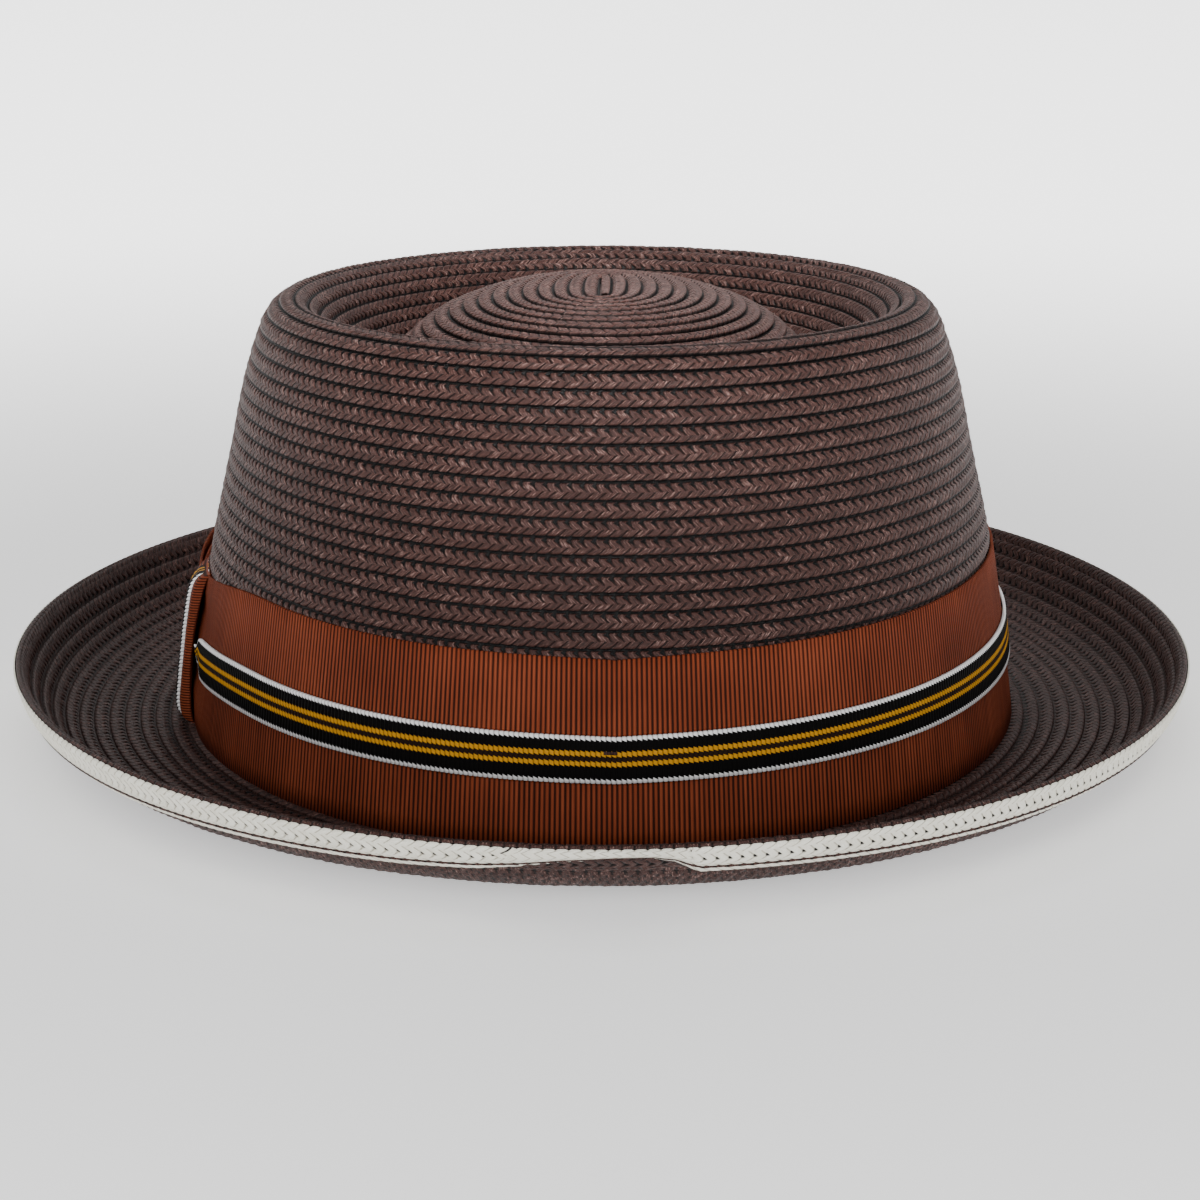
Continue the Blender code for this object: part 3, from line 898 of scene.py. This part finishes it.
@dataclass
class EdgeBraid:
    """Ivory braid round the rim: a full row over a narrower one, with its join at the centre back."""

    form: HatForm
    braid: BraidSize
    under: WallFace
    join_shift: float = 4.0 * MM
    join_span: float = 40.0 * MM
    join_low: float = -24.0 * MM
    join_high: float = 17.0 * MM

    # Shares of the join's span along the rim, and of the braid's width there
    join_rows = (
        (-1.0, 1.0), (-0.66, 0.92), (-0.45, 0.70), (-0.28, 0.45), (-0.05, 0.28), (0.12, 0.27), (0.22, 0.45),
        (0.30, 0.86), (0.34, 1.0),
    )

    @property
    def half_width(self) -> float:
        """Half width of the rim."""
        return self.form.head_half_width + self.form.brim_width

    def width_share(self, angle: np.ndarray) -> np.ndarray:
        """Share of the braid's width at an angle."""
        rows = np.array(self.join_rows)
        along = (self.half_width * np.cos(angle) - self.join_shift) / self.join_span
        return np.where(np.sin(angle) < 0, np.interp(along, rows[:, 0], rows[:, 1]), 1.0)

    def strip(
        self, name: str, across: tuple[float, ...], lift: tuple[float, ...], plait: BraidSize,
        relief: float = 1.0, join_only: bool = False, wavy: float = 0.0,
    ) -> bpy.types.Object:
        """Lay a strip of braid along the rim, round its edge and on the brim's underside.

        Args:
            name: The piece's name.
            across: Distances from the strip's upper edge, in millimetres, of its lengthwise lines.
            lift: Their heights off the wall, in millimetres.
            plait: Sizes of the plait.
            relief: Share of the plait's full relief.
            join_only: Whether the strip runs only along the join, at its own full width.
            wavy: How far the strip sways from side to side.

        Returns:
            The piece.
        """
        whole = even_angles(self.form, self.form.brim_width, plait.strap / 4)
        if join_only:
            whole = np.concatenate([whole[:-1] - 2 * pi, whole])
        low, high = (-np.arccos(x / self.half_width) for x in (self.join_low, self.join_high))
        inside = (whole >= low) & (whole <= high) if join_only else whole > -10
        angles = whole[inside]
        column = np.arange(len(whole))[inside]
        across = np.array(across)[:, None] * MM
        seam = (column + np.where(plait.in_edge(across), 2, 0)) % 4 == 0
        radius = (self.half_width + self.form.half_length(self.form.brim_width)) / 2
        spot = angles[None, :] - plait.zigzag(across) / radius
        width = np.ones_like(spot) if join_only else self.width_share(spot)
        plaited = ease(0.55, 0.9, width)
        from_end = np.minimum(column - column[0], column[-1] - column) / 4.0
        end_fade = ease(0.0, 4.0, from_end) if join_only else 1.0
        sway = wavy * (np.sin(column * 0.9) + 0.6 * np.sin(column * 0.37 + 1.0))
        last = np.abs(across - across.max()) < 0.2 * MM
        reach = self.under.span - across * width + np.where(last & seam, 0.2 * MM * relief, 0.0) + sway
        reach = reach - np.where((across < 0.1 * MM) & seam, 0.22 * MM * relief, 0.0)
        height = np.array(lift)[:, None] * MM * (0.55 + 0.45 * width) * end_fade
        height = height - plaited * np.where(seam & (height > 0.2 * MM), plait.groove * relief, 0.0)
        by_holes = seam & (np.abs(across - plait.middle) < 0.4 * MM)
        height = height - plaited * np.where(by_holes, plait.hole * relief, 0.0)
        points = self.under.raised(reach, spot, -height)
        # The flattened end at the join shows no holes, so its V lies past the plait's middle
        uv = paired(column / 4, across / plait.strap + 3.0 * (1 - plaited))
        return shape_grid(name, points[:, ::-1], uv[:, ::-1])

    def build(self, ivory: bpy.types.Material, brown: bpy.types.Material) -> list[bpy.types.Object]:
        """Lay both ivory rows, the stitching between them and the brown row that shows at the join.

        Args:
            ivory: Finish of the edge.
            brown: Finish of the hat's own braid, full face.

        Returns:
            The pieces.
        """
        outer = self.strip(
            "edge_braid_outer", (0.0, 0.04, 0.6, 1.35, 2.2, 3.1, 4.0, 4.8, 5.6, 6.15, 6.0),
            (0.0, 0.30, 0.55, 0.62, 0.85, 1.1, 1.22, 1.12, 1.15, 0.85, 0.4), self.braid,
        )
        inner = self.strip(
            "edge_braid_inner", (5.6, 6.6, 7.7, 8.8, 9.2, 9.05), (0.45, 0.78, 0.92, 0.85, 0.55, 0.05),
            self.braid, 0.4,
        )
        pieces = [finish_piece(piece, ivory, "ivory_braid", "edge_braid") for piece in (outer, inner)]
        thread = self.strip(
            "edge_stitching", (6.02, 6.08, 6.40, 6.46), (0.3, 1.28, 1.28, 0.3), self.braid, 0.3,
            wavy=0.07 * MM,
        )
        join = self.strip(
            "edge_join_braid", (1.4, 1.9, 2.7, 3.2, 4.0, 4.8, 5.6, 6.4, 6.9, 7.8, 8.3),
            (0.0, 0.55, 0.80, 0.66, 0.84, 0.72, 0.84, 0.66, 0.80, 0.5, 0.0), join_size(self.braid),
            join_only=True,
        )
        pieces.append(finish_piece(thread, brown, "brown_braid", "edge_braid"))
        pieces.append(finish_piece(join, brown, "brown_braid", "braid_body"))
        return pieces


def closed_ribbon(
    name: str, outer: np.ndarray, inner: np.ndarray, ribs: np.ndarray, place: np.ndarray,
    behind: tuple[float, ...],
) -> bpy.types.Object:
    """Make a ribbon with two faces and closed ends.

    Args:
        name: The piece's name.
        outer: Points of its outer face, lines across the ribbon by columns.
        inner: Points of its inner face, in the other direction across the ribbon.
        ribs: Ribs passed at each column, which are U.
        place: V of the outer lines.
        behind: V of the inner lines.

    Returns:
        The new object.
    """
    cross = np.concatenate([place, behind, place[:1]])
    points = np.concatenate([outer, inner, outer[:1]])
    return shape_grid(name, points, paired(ribs[None, :], cross[:, None]), closed=True)


@dataclass
class Ribbons:
    """Band, striped ribbon and bow, all laid round the crown's foot."""

    form: HatForm
    rust: bpy.types.Material
    striped: bpy.types.Material
    thread: bpy.types.Material
    rib: float = 0.95 * MM
    fine_rib: float = 0.95 * MM
    knot_rib: float = 0.62 * MM
    stripe_width: float = 8.6 * MM
    stripe_drop: float = 0.4 * MM
    cinch: float = 5.0 * MM
    cinch_behind: float = 47.0 * MM
    cinch_ahead: float = 80.0 * MM
    knot_length: float = 16.0 * MM
    knot_shift: float = 15.0 * MM
    knot_tilt: float = 2.2 * MM
    loop_length: float = 58.0 * MM
    clearance: float = 0.3 * MM
    back_dip: float = 0.8 * MM
    pucker_depth: float = 0.35 * MM
    band_faces: tuple[float, float] = (1.05 * MM, 0.45 * MM)
    stripe_faces: tuple[float, float] = (1.95 * MM, 1.35 * MM)
    tack_faces: tuple[float, float] = (2.0 * MM, 1.8 * MM)
    pinched: float = 0.36
    pinch_drop: float = 0.075
    under_knot: float = 2.7 * MM

    def cinch_share(self, angle: np.ndarray) -> np.ndarray:
        """Share of the band's cinch at an angle: whole at the knot, none a span away."""
        ahead = self.form.head_half_length * np.sin(angle) + self.knot_shift
        away = np.clip(np.where(ahead > 0, ahead / self.cinch_ahead, -ahead / self.cinch_behind), 0, 1)
        return np.where(np.cos(angle) > 0, 0.0, (1 + np.cos(pi * away)) / 2)

    def left_angle(self, y: np.ndarray) -> np.ndarray:
        """Angle of the point on the wearer's left side with this Y."""
        return pi - np.arcsin(y / self.form.head_half_length)

    def up_at(self, share: np.ndarray, angle: np.ndarray) -> np.ndarray:
        """Height of a share of the band's width."""
        from_dip = np.abs(self.form.head_half_width * np.cos(angle) - 2.6 * MM)
        dip = np.where(np.sin(angle) < 0, self.back_dip * np.exp(-from_dip / (9 * MM)), 0.0)
        width = self.form.ribbon_width - self.cinch * self.cinch_share(angle)
        return self.form.ribbon_bottom + width * share - dip * share

    def lay(self, angle: np.ndarray, share: np.ndarray, distance: np.ndarray, rise: np.ndarray) -> np.ndarray:
        """Points at a share of the band's width and a distance outside the crown."""
        up = self.up_at(share, angle)
        out = self.form.crown_out(up.ravel()).reshape(up.shape)
        return self.form.place(out + distance, up + rise, angle)

    def strip(
        self, name: str, angles: np.ndarray, phase: np.ndarray, shares: np.ndarray, far: np.ndarray,
        near: np.ndarray, relief: float, scallop: float, pinch: np.ndarray | None = None,
    ) -> bpy.types.Object:
        """Make a ribbon's closed section along a run of angles.

        Args:
            name: The piece's name.
            angles: Angle of each column.
            phase: Ribs passed at each column.
            shares: Shares of the band's width across the ribbon, from its lower edge up.
            far: Distance of its outer face outside the crown, shares by columns.
            near: Distance of its inner face.
            relief: Depth of the grooves between ribs.
            scallop: How far the ribs stand out at its edges.
            pinch: Share of the width that is left at each column, measured down from the upper edge.

        Returns:
            The piece.
        """
        groove = np.abs(phase - np.round(phase)) < 0.05
        span = np.broadcast_to(shares[:, None], (len(shares), len(angles)))
        if pinch is not None:
            drop = self.pinch_drop * (1 - ease(self.pinched, 0.75, pinch))
            span = shares[-1] - (shares[-1] - span) * pinch - drop
        turned = np.broadcast_to(angles[None, :], span.shape)
        rise = np.zeros(span.shape)
        rise[0] = np.where(groove, scallop, 0.0)
        rise[-1] = np.where(groove, -scallop, 0.0)
        outer = self.lay(turned, span, far - np.where(groove, relief, 0.0)[None, :], rise)
        back = [-1, 0]
        inner = self.lay(turned[back], span[back], near[back], rise[back])
        place = (shares - shares[0]) / (shares[-1] - shares[0])
        return closed_ribbon(name, outer, inner, phase, place, (0.999, 0.001))

    def columns(self, start: float, end: float, rib: float, per_rib: int) -> tuple[np.ndarray, np.ndarray]:
        """Angles and rib counts of evenly spaced columns between two angles."""
        dense = np.linspace(start, end, 2000)
        track = running_length(self.form.place(np.full(2000, 1.5 * MM), np.full(2000, 20 * MM), dense))
        count = round(track[-1] / rib) * per_rib
        return np.interp(np.linspace(0, track[-1], count + 1), track, dense), np.arange(count + 1) / per_rib

    def pucker(self, angle: np.ndarray, share: np.ndarray) -> np.ndarray:
        """Height of the soft folds that the knot pulls into the band."""
        pull = self.cinch_share(angle) ** 2
        return self.pucker_depth * pull * np.sin(share * 17 + 2.0 * np.sin(angle * 9))

    def band(self) -> bpy.types.Object:
        """Rust band all round."""
        angles, phase = self.columns(BACK, BACK + 2 * pi, self.rib, 4)
        shares = np.linspace(0, 1, 10)
        fold = self.pucker(angles[None, :], shares[:, None])
        far, near = self.band_faces
        piece = self.strip(
            "rust_band", angles, phase, shares, far + fold, near + fold * 0.5, 0.07 * MM, 0.10 * MM
        )
        return finish_piece(piece, self.rust, "rust_grosgrain", "ribbon_band")

    def stripe_shares(self, count: int) -> np.ndarray:
        """Height shares of the band that the striped ribbon covers."""
        low = ((self.form.ribbon_width - self.stripe_width) / 2 - self.stripe_drop) / self.form.ribbon_width
        return np.linspace(low, low + self.stripe_width / self.form.ribbon_width, count)

    def stripe(self) -> bpy.types.Object:
        """Striped ribbon along the band's middle, from the back of the knot round to the loop's end."""
        first = self.left_angle(-self.knot_shift - self.knot_length / 2 + 1.0 * MM)
        last = self.left_angle(-self.knot_shift + self.knot_length / 2 + self.loop_length - 1.5 * MM) + 2 * pi
        angles, phase = self.columns(first, last, self.fine_rib, 4)
        shares = self.stripe_shares(9)
        fold = self.pucker(angles[None, :], shares[:, None])
        pinch = self.pinched + (1 - self.pinched) * ease(1.0 * MM, 9.5 * MM, phase * self.fine_rib)
        fold = fold + (1 - pinch) * 0.2 * MM
        far, near = (face + fold for face in self.stripe_faces)
        piece = self.strip("striped_band", angles, phase, shares, far, near, 0.05 * MM, 0.10 * MM, pinch)
        return finish_piece(piece, self.striped, "striped_ribbon", "stripe_ribbon")

    def tack(self) -> bpy.types.Object:
        """Short dark stitch that holds the striped ribbon at the centre back."""
        angles, phase = self.columns(BACK + 0.004, BACK + 0.034, 0.5 * MM, 2)
        shares = self.stripe_shares(9)[5] + np.array([0.0, 0.3, 0.6, 1.0]) * 0.6 * MM / self.form.ribbon_width
        along = np.sin(np.linspace(0.2, pi - 0.2, len(angles)))
        swell = np.array([0.0, 0.14, 0.14, 0.0])[:, None] * MM * along
        far, near = self.tack_faces
        piece = self.strip("stripe_tack", angles, phase, shares, far + swell, near + 0 * swell, 0.0, 0.0)
        return finish_piece(piece, self.thread, "rust_grosgrain", "stripe_ribbon")

    def folded(
        self, name: str, y: np.ndarray, distance: np.ndarray, shares: np.ndarray, thickness: float,
        rib: float, per_rib: int, relief: float, scallop: float, swell: np.ndarray,
    ) -> bpy.types.Object:
        """Ribbon along a path in plan: distances ahead and outside the crown.

        Args:
            name: The piece's name.
            y: Path's Y.
            distance: Path's distance outside the crown.
            shares: Height shares across the ribbon.
            thickness: Ribbon thickness.
            rib: Spacing of its ribs.
            per_rib: Columns for each rib.
            relief: Depth of the grooves.
            scallop: How far the ribs stand out at the edges.
            swell: Share of the distance kept at each height share.

        Returns:
            The piece.
        """
        path = np.stack([y, distance], axis=1)
        track = running_length(path)
        count = round(track[-1] / rib) * per_rib
        spots = np.linspace(0, track[-1], count + 1)
        path = np.stack([np.interp(spots, track, path[:, column]) for column in (0, 1)], axis=1)
        phase = np.arange(count + 1) / per_rib
        groove = np.arange(count + 1) % per_rib == 0
        steps = np.gradient(path, axis=0)
        steps /= np.linalg.norm(steps, axis=1)[:, None]
        normal = np.stack([-steps[:, 1], steps[:, 0]], axis=1)
        rise = np.zeros((len(shares), count + 1))
        rise[0] = np.where(groove, scallop, 0.0)
        rise[-1] = np.where(groove, -scallop, 0.0)
        faces = []
        for side in (thickness / 2, -thickness / 2):
            depth = side - np.where(groove, relief, 0.0) * np.sign(side)
            spot = path + normal * depth[:, None]
            rows = np.arange(len(shares)) if side > 0 else np.array([len(shares) - 1, len(shares) // 2, 0])
            low = 1.2 * MM
            distance_rows = low + (spot[None, :, 1] - low) * swell[rows][:, None]
            angle = np.broadcast_to(self.left_angle(spot[:, 0])[None, :], distance_rows.shape)
            share_rows = np.broadcast_to(shares[rows][:, None], distance_rows.shape)
            faces.append(self.lay(angle, share_rows, distance_rows, rise[rows]))
        place = (shares - shares[0]) / (shares[-1] - shares[0])
        return closed_ribbon(name, *faces, phase, place, (0.999, 0.5, 0.001))

    def loop_path(self, inset: float, end: float) -> tuple[np.ndarray, np.ndarray]:
        """Path of the loop in plan: out along its inner layer, round the fold and back on the outer layer."""
        back = -self.knot_shift + self.knot_length / 2 - 2.6 * MM
        front = -self.knot_shift + self.knot_length / 2 + self.clearance + self.loop_length - end
        radius = 0.9 * MM
        ahead = np.linspace(0, 1, 60)
        inner = np.full(60, 1.55 * MM)
        bulge = 2.05 * MM + 1.7 * MM * np.sin(pi * np.clip(ahead * 0.97, 0, 1)) ** 0.8
        bend = np.linspace(-pi / 2, pi / 2, 12)[1:-1]
        middle = (inner[-1] + bulge[-1]) / 2
        half = (bulge[-1] - inner[-1]) / 2
        y = np.concatenate([
            back + (front - radius - back) * ahead, front - radius + radius * np.cos(bend),
            (back + (front - radius - back) * ahead)[::-1],
        ])
        distance = np.concatenate([inner, middle + half * np.sin(bend), bulge[::-1]])
        return y, distance + inset

    def loop(self) -> list[bpy.types.Object]:
        """Loop of the bow in front of the knot, folded back on itself, with its striped ribbon."""
        y, distance = self.loop_path(0.0, 0.6 * MM)
        shares = np.linspace(0.035, 0.965, 11)
        swell = 1.0 - 0.18 * np.abs(shares * 2 - 1) ** 3
        rust = self.folded(
            "bow_fold", y, distance, shares, 0.55 * MM, self.rib, 4, 0.06 * MM, 0.08 * MM, swell
        )
        half = len(y) // 2 + 4
        shares = self.stripe_shares(9)
        striped = self.folded(
            "bow_fold_stripe", y[half:], distance[half:] + 0.62 * MM, shares, 0.5 * MM, self.fine_rib, 3,
            0.05 * MM, 0.09 * MM, np.ones(9),
        )
        return [
            finish_piece(rust, self.rust, "rust_grosgrain", "bow_loop"),
            finish_piece(striped, self.striped, "striped_ribbon", "bow_loop_stripe"),
        ]

    def knot_grid(
        self, name: str, low: float, high: float, lift: float, under: float, rib: float, pleats: float
    ) -> bpy.types.Object:
        """Upright wrap of ribbon over the band, from its lower edge up over its top.

        Args:
            name: The piece's name.
            low: Y of its back edge.
            high: Y of its front edge.
            lift: Distance of its outer face outside the crown at its fullest.
            under: Distance of the inner face where its back edge arches off the band.
            rib: Spacing of the ribs, which run across it.
            pleats: Depth of its lengthwise gathers.

        Returns:
            The piece.
        """
        columns = 29
        rows = round(self.form.ribbon_width / rib * 2) + 1
        ahead = np.linspace(0, 1, columns)
        share = np.linspace(-0.01, 1.015, rows)
        round_over = np.clip(1 - np.abs(share * 2 - 1) ** 9, 0, 1) ** 0.5
        side = np.clip(1 - np.abs(ahead * 2 - 1) ** 8, 0, 1) ** 0.5
        gather = pleats * np.cos(ahead * 2 * pi * 3) + self.knot_tilt * np.maximum(0.0, 0.5 - ahead)
        waist = 1 - 0.10 * np.exp(-((share - 0.5) / 0.28) ** 2)
        y = (low + high) / 2 + (high - low) * (ahead[:, None] - 0.5) * waist[None, :]
        groove = np.where(np.arange(rows) % 2 == 0, 0.05 * MM, 0.0)
        arch = np.sin(pi * np.clip(share, 0, 1)) ** 0.5
        hollow = 0.7 * MM + (under - 0.7 * MM) * arch
        base = 0.9 * MM + (hollow - 0.65 * MM) * np.clip(1 - ahead[:, None] / 0.2, 0, 1)
        full = (lift - base + (gather * side)[:, None]) * side[:, None] * round_over
        distance = base + full - groove
        angle = self.left_angle(y)
        shares = np.broadcast_to(share[None, :], angle.shape)
        outer = self.lay(angle, shares, distance, np.zeros(angle.shape))
        floor = np.stack([np.full(rows, 0.6 * MM), hollow])
        inner = self.lay(angle[[-1, 0]], shares[[-1, 0]], floor, np.zeros((2, rows)))
        return closed_ribbon(name, outer, inner, np.arange(rows) / 2, ahead, (0.999, 0.001))

    def knot(self) -> list[bpy.types.Object]:
        """Knot of the bow and the striped ribbon round it."""
        back = -self.knot_shift - self.knot_length / 2
        edge = (self.knot_length - self.stripe_width) / 2
        rust = self.knot_grid(
            "bow_wrap", back, back + self.knot_length, 3.5 * MM, self.under_knot, self.knot_rib, 0.18 * MM
        )
        striped = self.knot_grid(
            "bow_wrap_stripe", back + edge, back + edge + self.stripe_width, 4.25 * MM, self.under_knot,
            self.fine_rib, 0.08 * MM,
        )
        return [
            finish_piece(rust, self.rust, "rust_grosgrain", "bow_knot"),
            finish_piece(striped, self.striped, "striped_ribbon", "bow_knot_stripe"),
        ]

    def build(self) -> None:
        out, up = np.full(ONCE_ROUND, self.band_faces[0]), np.full(ONCE_ROUND, 20 * MM)
        around = running_length(self.form.place(out, up, np.linspace(0, 2 * pi, ONCE_ROUND)))
        band, stripe, tack = self.band(), self.stripe(), self.tack()
        loop, loop_stripe = self.loop()
        knot, knot_stripe = self.knot()


@dataclass
class Studio:
    """Camera at the photograph's angle, a pale glowing floor that is dimmer round the hat as a painted
    shadow, and soft lights.
    """

    distance: float = 0.700
    elevation: float = radians(15.17)
    aim: tuple[float, float, float] = (-0.0003, 0.0, 0.02109)
    lens: float = 100.375
    floor_half: float = 6.0
    glow_near: float = 0.60
    glow_far: float = 2.6
    horizon_glow: float = 1.1
    overhead_glow: float = 0.33

    def build(self) -> None:
        """Add the camera, the floor and the lights."""
        scene = bpy.context.scene
        camera = bpy.data.cameras.new("camera")
        camera.lens = self.lens
        camera.sensor_width = 36.0
        camera.clip_start = 0.01
        view = bpy.data.objects.new("camera", camera)
        offset = Vector((0.0, -cos(self.elevation), sin(self.elevation)))
        view.location = Vector(self.aim) + offset * self.distance
        view.rotation_euler = offset.to_track_quat("Z", "Y").to_euler()
        scene.collection.objects.link(view)
        scene.camera = view
        builder = bmesh.new()
        bmesh.ops.create_grid(builder, x_segments=1, y_segments=1, size=self.floor_half)
        mesh = bpy.data.meshes.new("floor")
        builder.to_mesh(mesh)
        builder.free()
        floor = bpy.data.objects.new("floor", mesh)
        scene.collection.objects.link(floor)
        glow_floor_finish = bpy.data.materials.new("glowing_floor_with_painted_shadow")
        glow_floor_finish.use_nodes = True
        shader = glow_floor_finish.node_tree.nodes["Principled BSDF"]
        shader.inputs["Base Color"].default_value = (0.9, 0.9, 0.9, 1.0)
        shader.inputs["Roughness"].default_value = 0.9
        shader.inputs["Emission Color"].default_value = (1.0, 1.0, 1.0, 1.0)
        # The floor is a glowing sheet, no lamp: its glow is dimmer round the hat, which paints a soft shadow
        # there
        spot = add_node(glow_floor_finish.node_tree, "TexCoord").outputs["Object"]
        away = add_node(glow_floor_finish.node_tree, "VectorMath", {0: spot}, operation="LENGTH")
        glow = add_node(
            glow_floor_finish.node_tree, "MapRange",
            {0: away.outputs["Value"], 1: 0.16, 2: 0.70, 3: self.glow_near, 4: self.glow_far},
            interpolation_type="SMOOTHSTEP",
        )
        glow_floor_finish.node_tree.links.new(glow.outputs[0], shader.inputs["Emission Strength"])
        floor.data.materials.append(glow_floor_finish)
        world = bpy.data.worlds.new("studio")
        world.use_nodes = True
        tree = world.node_tree
        sky_place = add_node(tree, "TexCoord").outputs["Generated"]
        place = add_node(tree, "SeparateXYZ", {0: sky_place})
        sky = add_node(
            tree, "MapRange",
            {0: place.outputs[2], 1: 0.0, 2: 0.8, 3: self.horizon_glow, 4: self.overhead_glow},
            interpolation_type="SMOOTHSTEP",
        )
        tree.links.new(sky.outputs[0], tree.nodes["Background"].inputs["Strength"])
        tree.nodes["Background"].inputs["Color"].default_value = (1.0, 1.0, 1.0, 1.0)
        scene.world = world
        self.lamp("key", (-0.5, -1.5, 0.82), 0.9, 11.5)
        self.lamp("fill", (0.9, -1.3, 0.62), 0.9, 7.0)
        self.lamp("rear", (0.0, 1.1, 1.3), 0.8, 6.0)
        snoot = bpy.data.lights.new("snoot", "SPOT")
        snoot.energy = 140.0
        snoot.shadow_soft_size = 0.06
        snoot.spot_size = radians(7.8)
        snoot.spot_blend = 0.5
        lamp = bpy.data.objects.new("snoot", snoot)
        lamp.location = (0.0, -0.55, 0.75)
        lamp.rotation_euler = (lamp.location - Vector((0, 0, 0.085))).to_track_quat("Z", "Y").to_euler()
        scene.collection.objects.link(lamp)

    def lamp(self, name: str, place: tuple[float, float, float], size: float, power: float) -> None:
        """Add a soft square light that faces the hat."""
        light = bpy.data.lights.new(name, "AREA")
        light.size = size
        light.energy = power
        lamp = bpy.data.objects.new(name, light)
        lamp.location = place
        lamp.rotation_euler = (Vector(place) - Vector((0, 0, 0.04))).to_track_quat("Z", "Y").to_euler()
        bpy.context.scene.collection.objects.link(lamp)


# Dyed straw braid, a little bright along each strap's back, with painted shade in its creases, in its holes,
# under each lap and along each free edge
BROWN_STRAW = PlaitedStraw(
    "plaited_brown_straw", base="482e29", light="c9a69c", dark="070302", crease_shade="050202", hole_and_lap_shade="010101",
    groove_shade=0.9, hole_size=0.29, roughness=0.5, specular=0.2, tint=0.09, fibre=0.95, lap_shade=1.0,
    groove_start=0.33,
)
# The same braid seen full face, with no lap over it
BROWN_STRAW_FLAT = replace(
    BROWN_STRAW, name="plaited_brown_straw_flat", lap_shade=0.0, hole_size=0.34, fibre=0.7, groove_start=0.30,
)
# The same braid on the brim, where blocking has pressed its rows flatter: less painted shade under its laps
# and in its creases, with a slightly darker base and a dimmer top to its ramp
BROWN_STRAW_PRESSED = replace(
    BROWN_STRAW, name="plaited_brown_straw_pressed", base="442b26", light="b28b80", lap_shade=0.42,
    groove_shade=0.7,
)
# Bleached straw braid, chalky white, with painted shade that turns its small holes black and its creases warm
# grey
IVORY_STRAW = PlaitedStraw(
    "plaited_ivory_straw", base="f2efe2", light="fbfaf4", dark="d8d2bd", crease_shade="8f8266", hole_and_lap_shade="120a07",
    groove_shade=0.6, hole_size=0.21, roughness=0.5, specular=0.3, tint=0.12, fibre=0.5, lap_shade=0.0,
)
# Viscose grosgrain, matt, with painted shade in the dark lines between its ribs
RUST_GROSGRAIN = Grosgrain("rust_grosgrain_ribbon", base="75351f", light="a05436", dark="2a1109")
# Woven striped ribbon: white beaded borders, black, and two gold lines with dark brown between
STRIPED = StripedRibbon("striped_woven_ribbon", (
    (0.0, "eceaea"), (0.08, "050404"), (0.368, "b98216"), (0.462, "1f130c"), (0.584, "b98216"),
    (0.681, "050404"), (0.924, "eceaea"),
))


def main() -> None:
    """Build the hat's pieces in order around the CAD model."""
    logging.basicConfig(level=logging.INFO, format="%(message)s")
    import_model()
    Studio().build()
    form = HatForm()
    braid = BraidSize()
    brown = BROWN_STRAW.material(braid)
    body = BraidBody(form, braid)
    body.build(brown, BROWN_STRAW_PRESSED.material(braid))
    RimRoll(form, braid).build(brown)
    edge_plait = replace(braid, width=6.2 * MM, turn_back=1.7 * MM)
    edge_brown = BROWN_STRAW_FLAT.material(join_size(braid))
    EdgeBraid(form, edge_plait, body.under).build(IVORY_STRAW.material(edge_plait), edge_brown)
    ribbons = Ribbons(form, RUST_GROSGRAIN.material(), STRIPED.material(), edge_brown)
    ribbons.build()


if __name__ == "__main__":
    main()
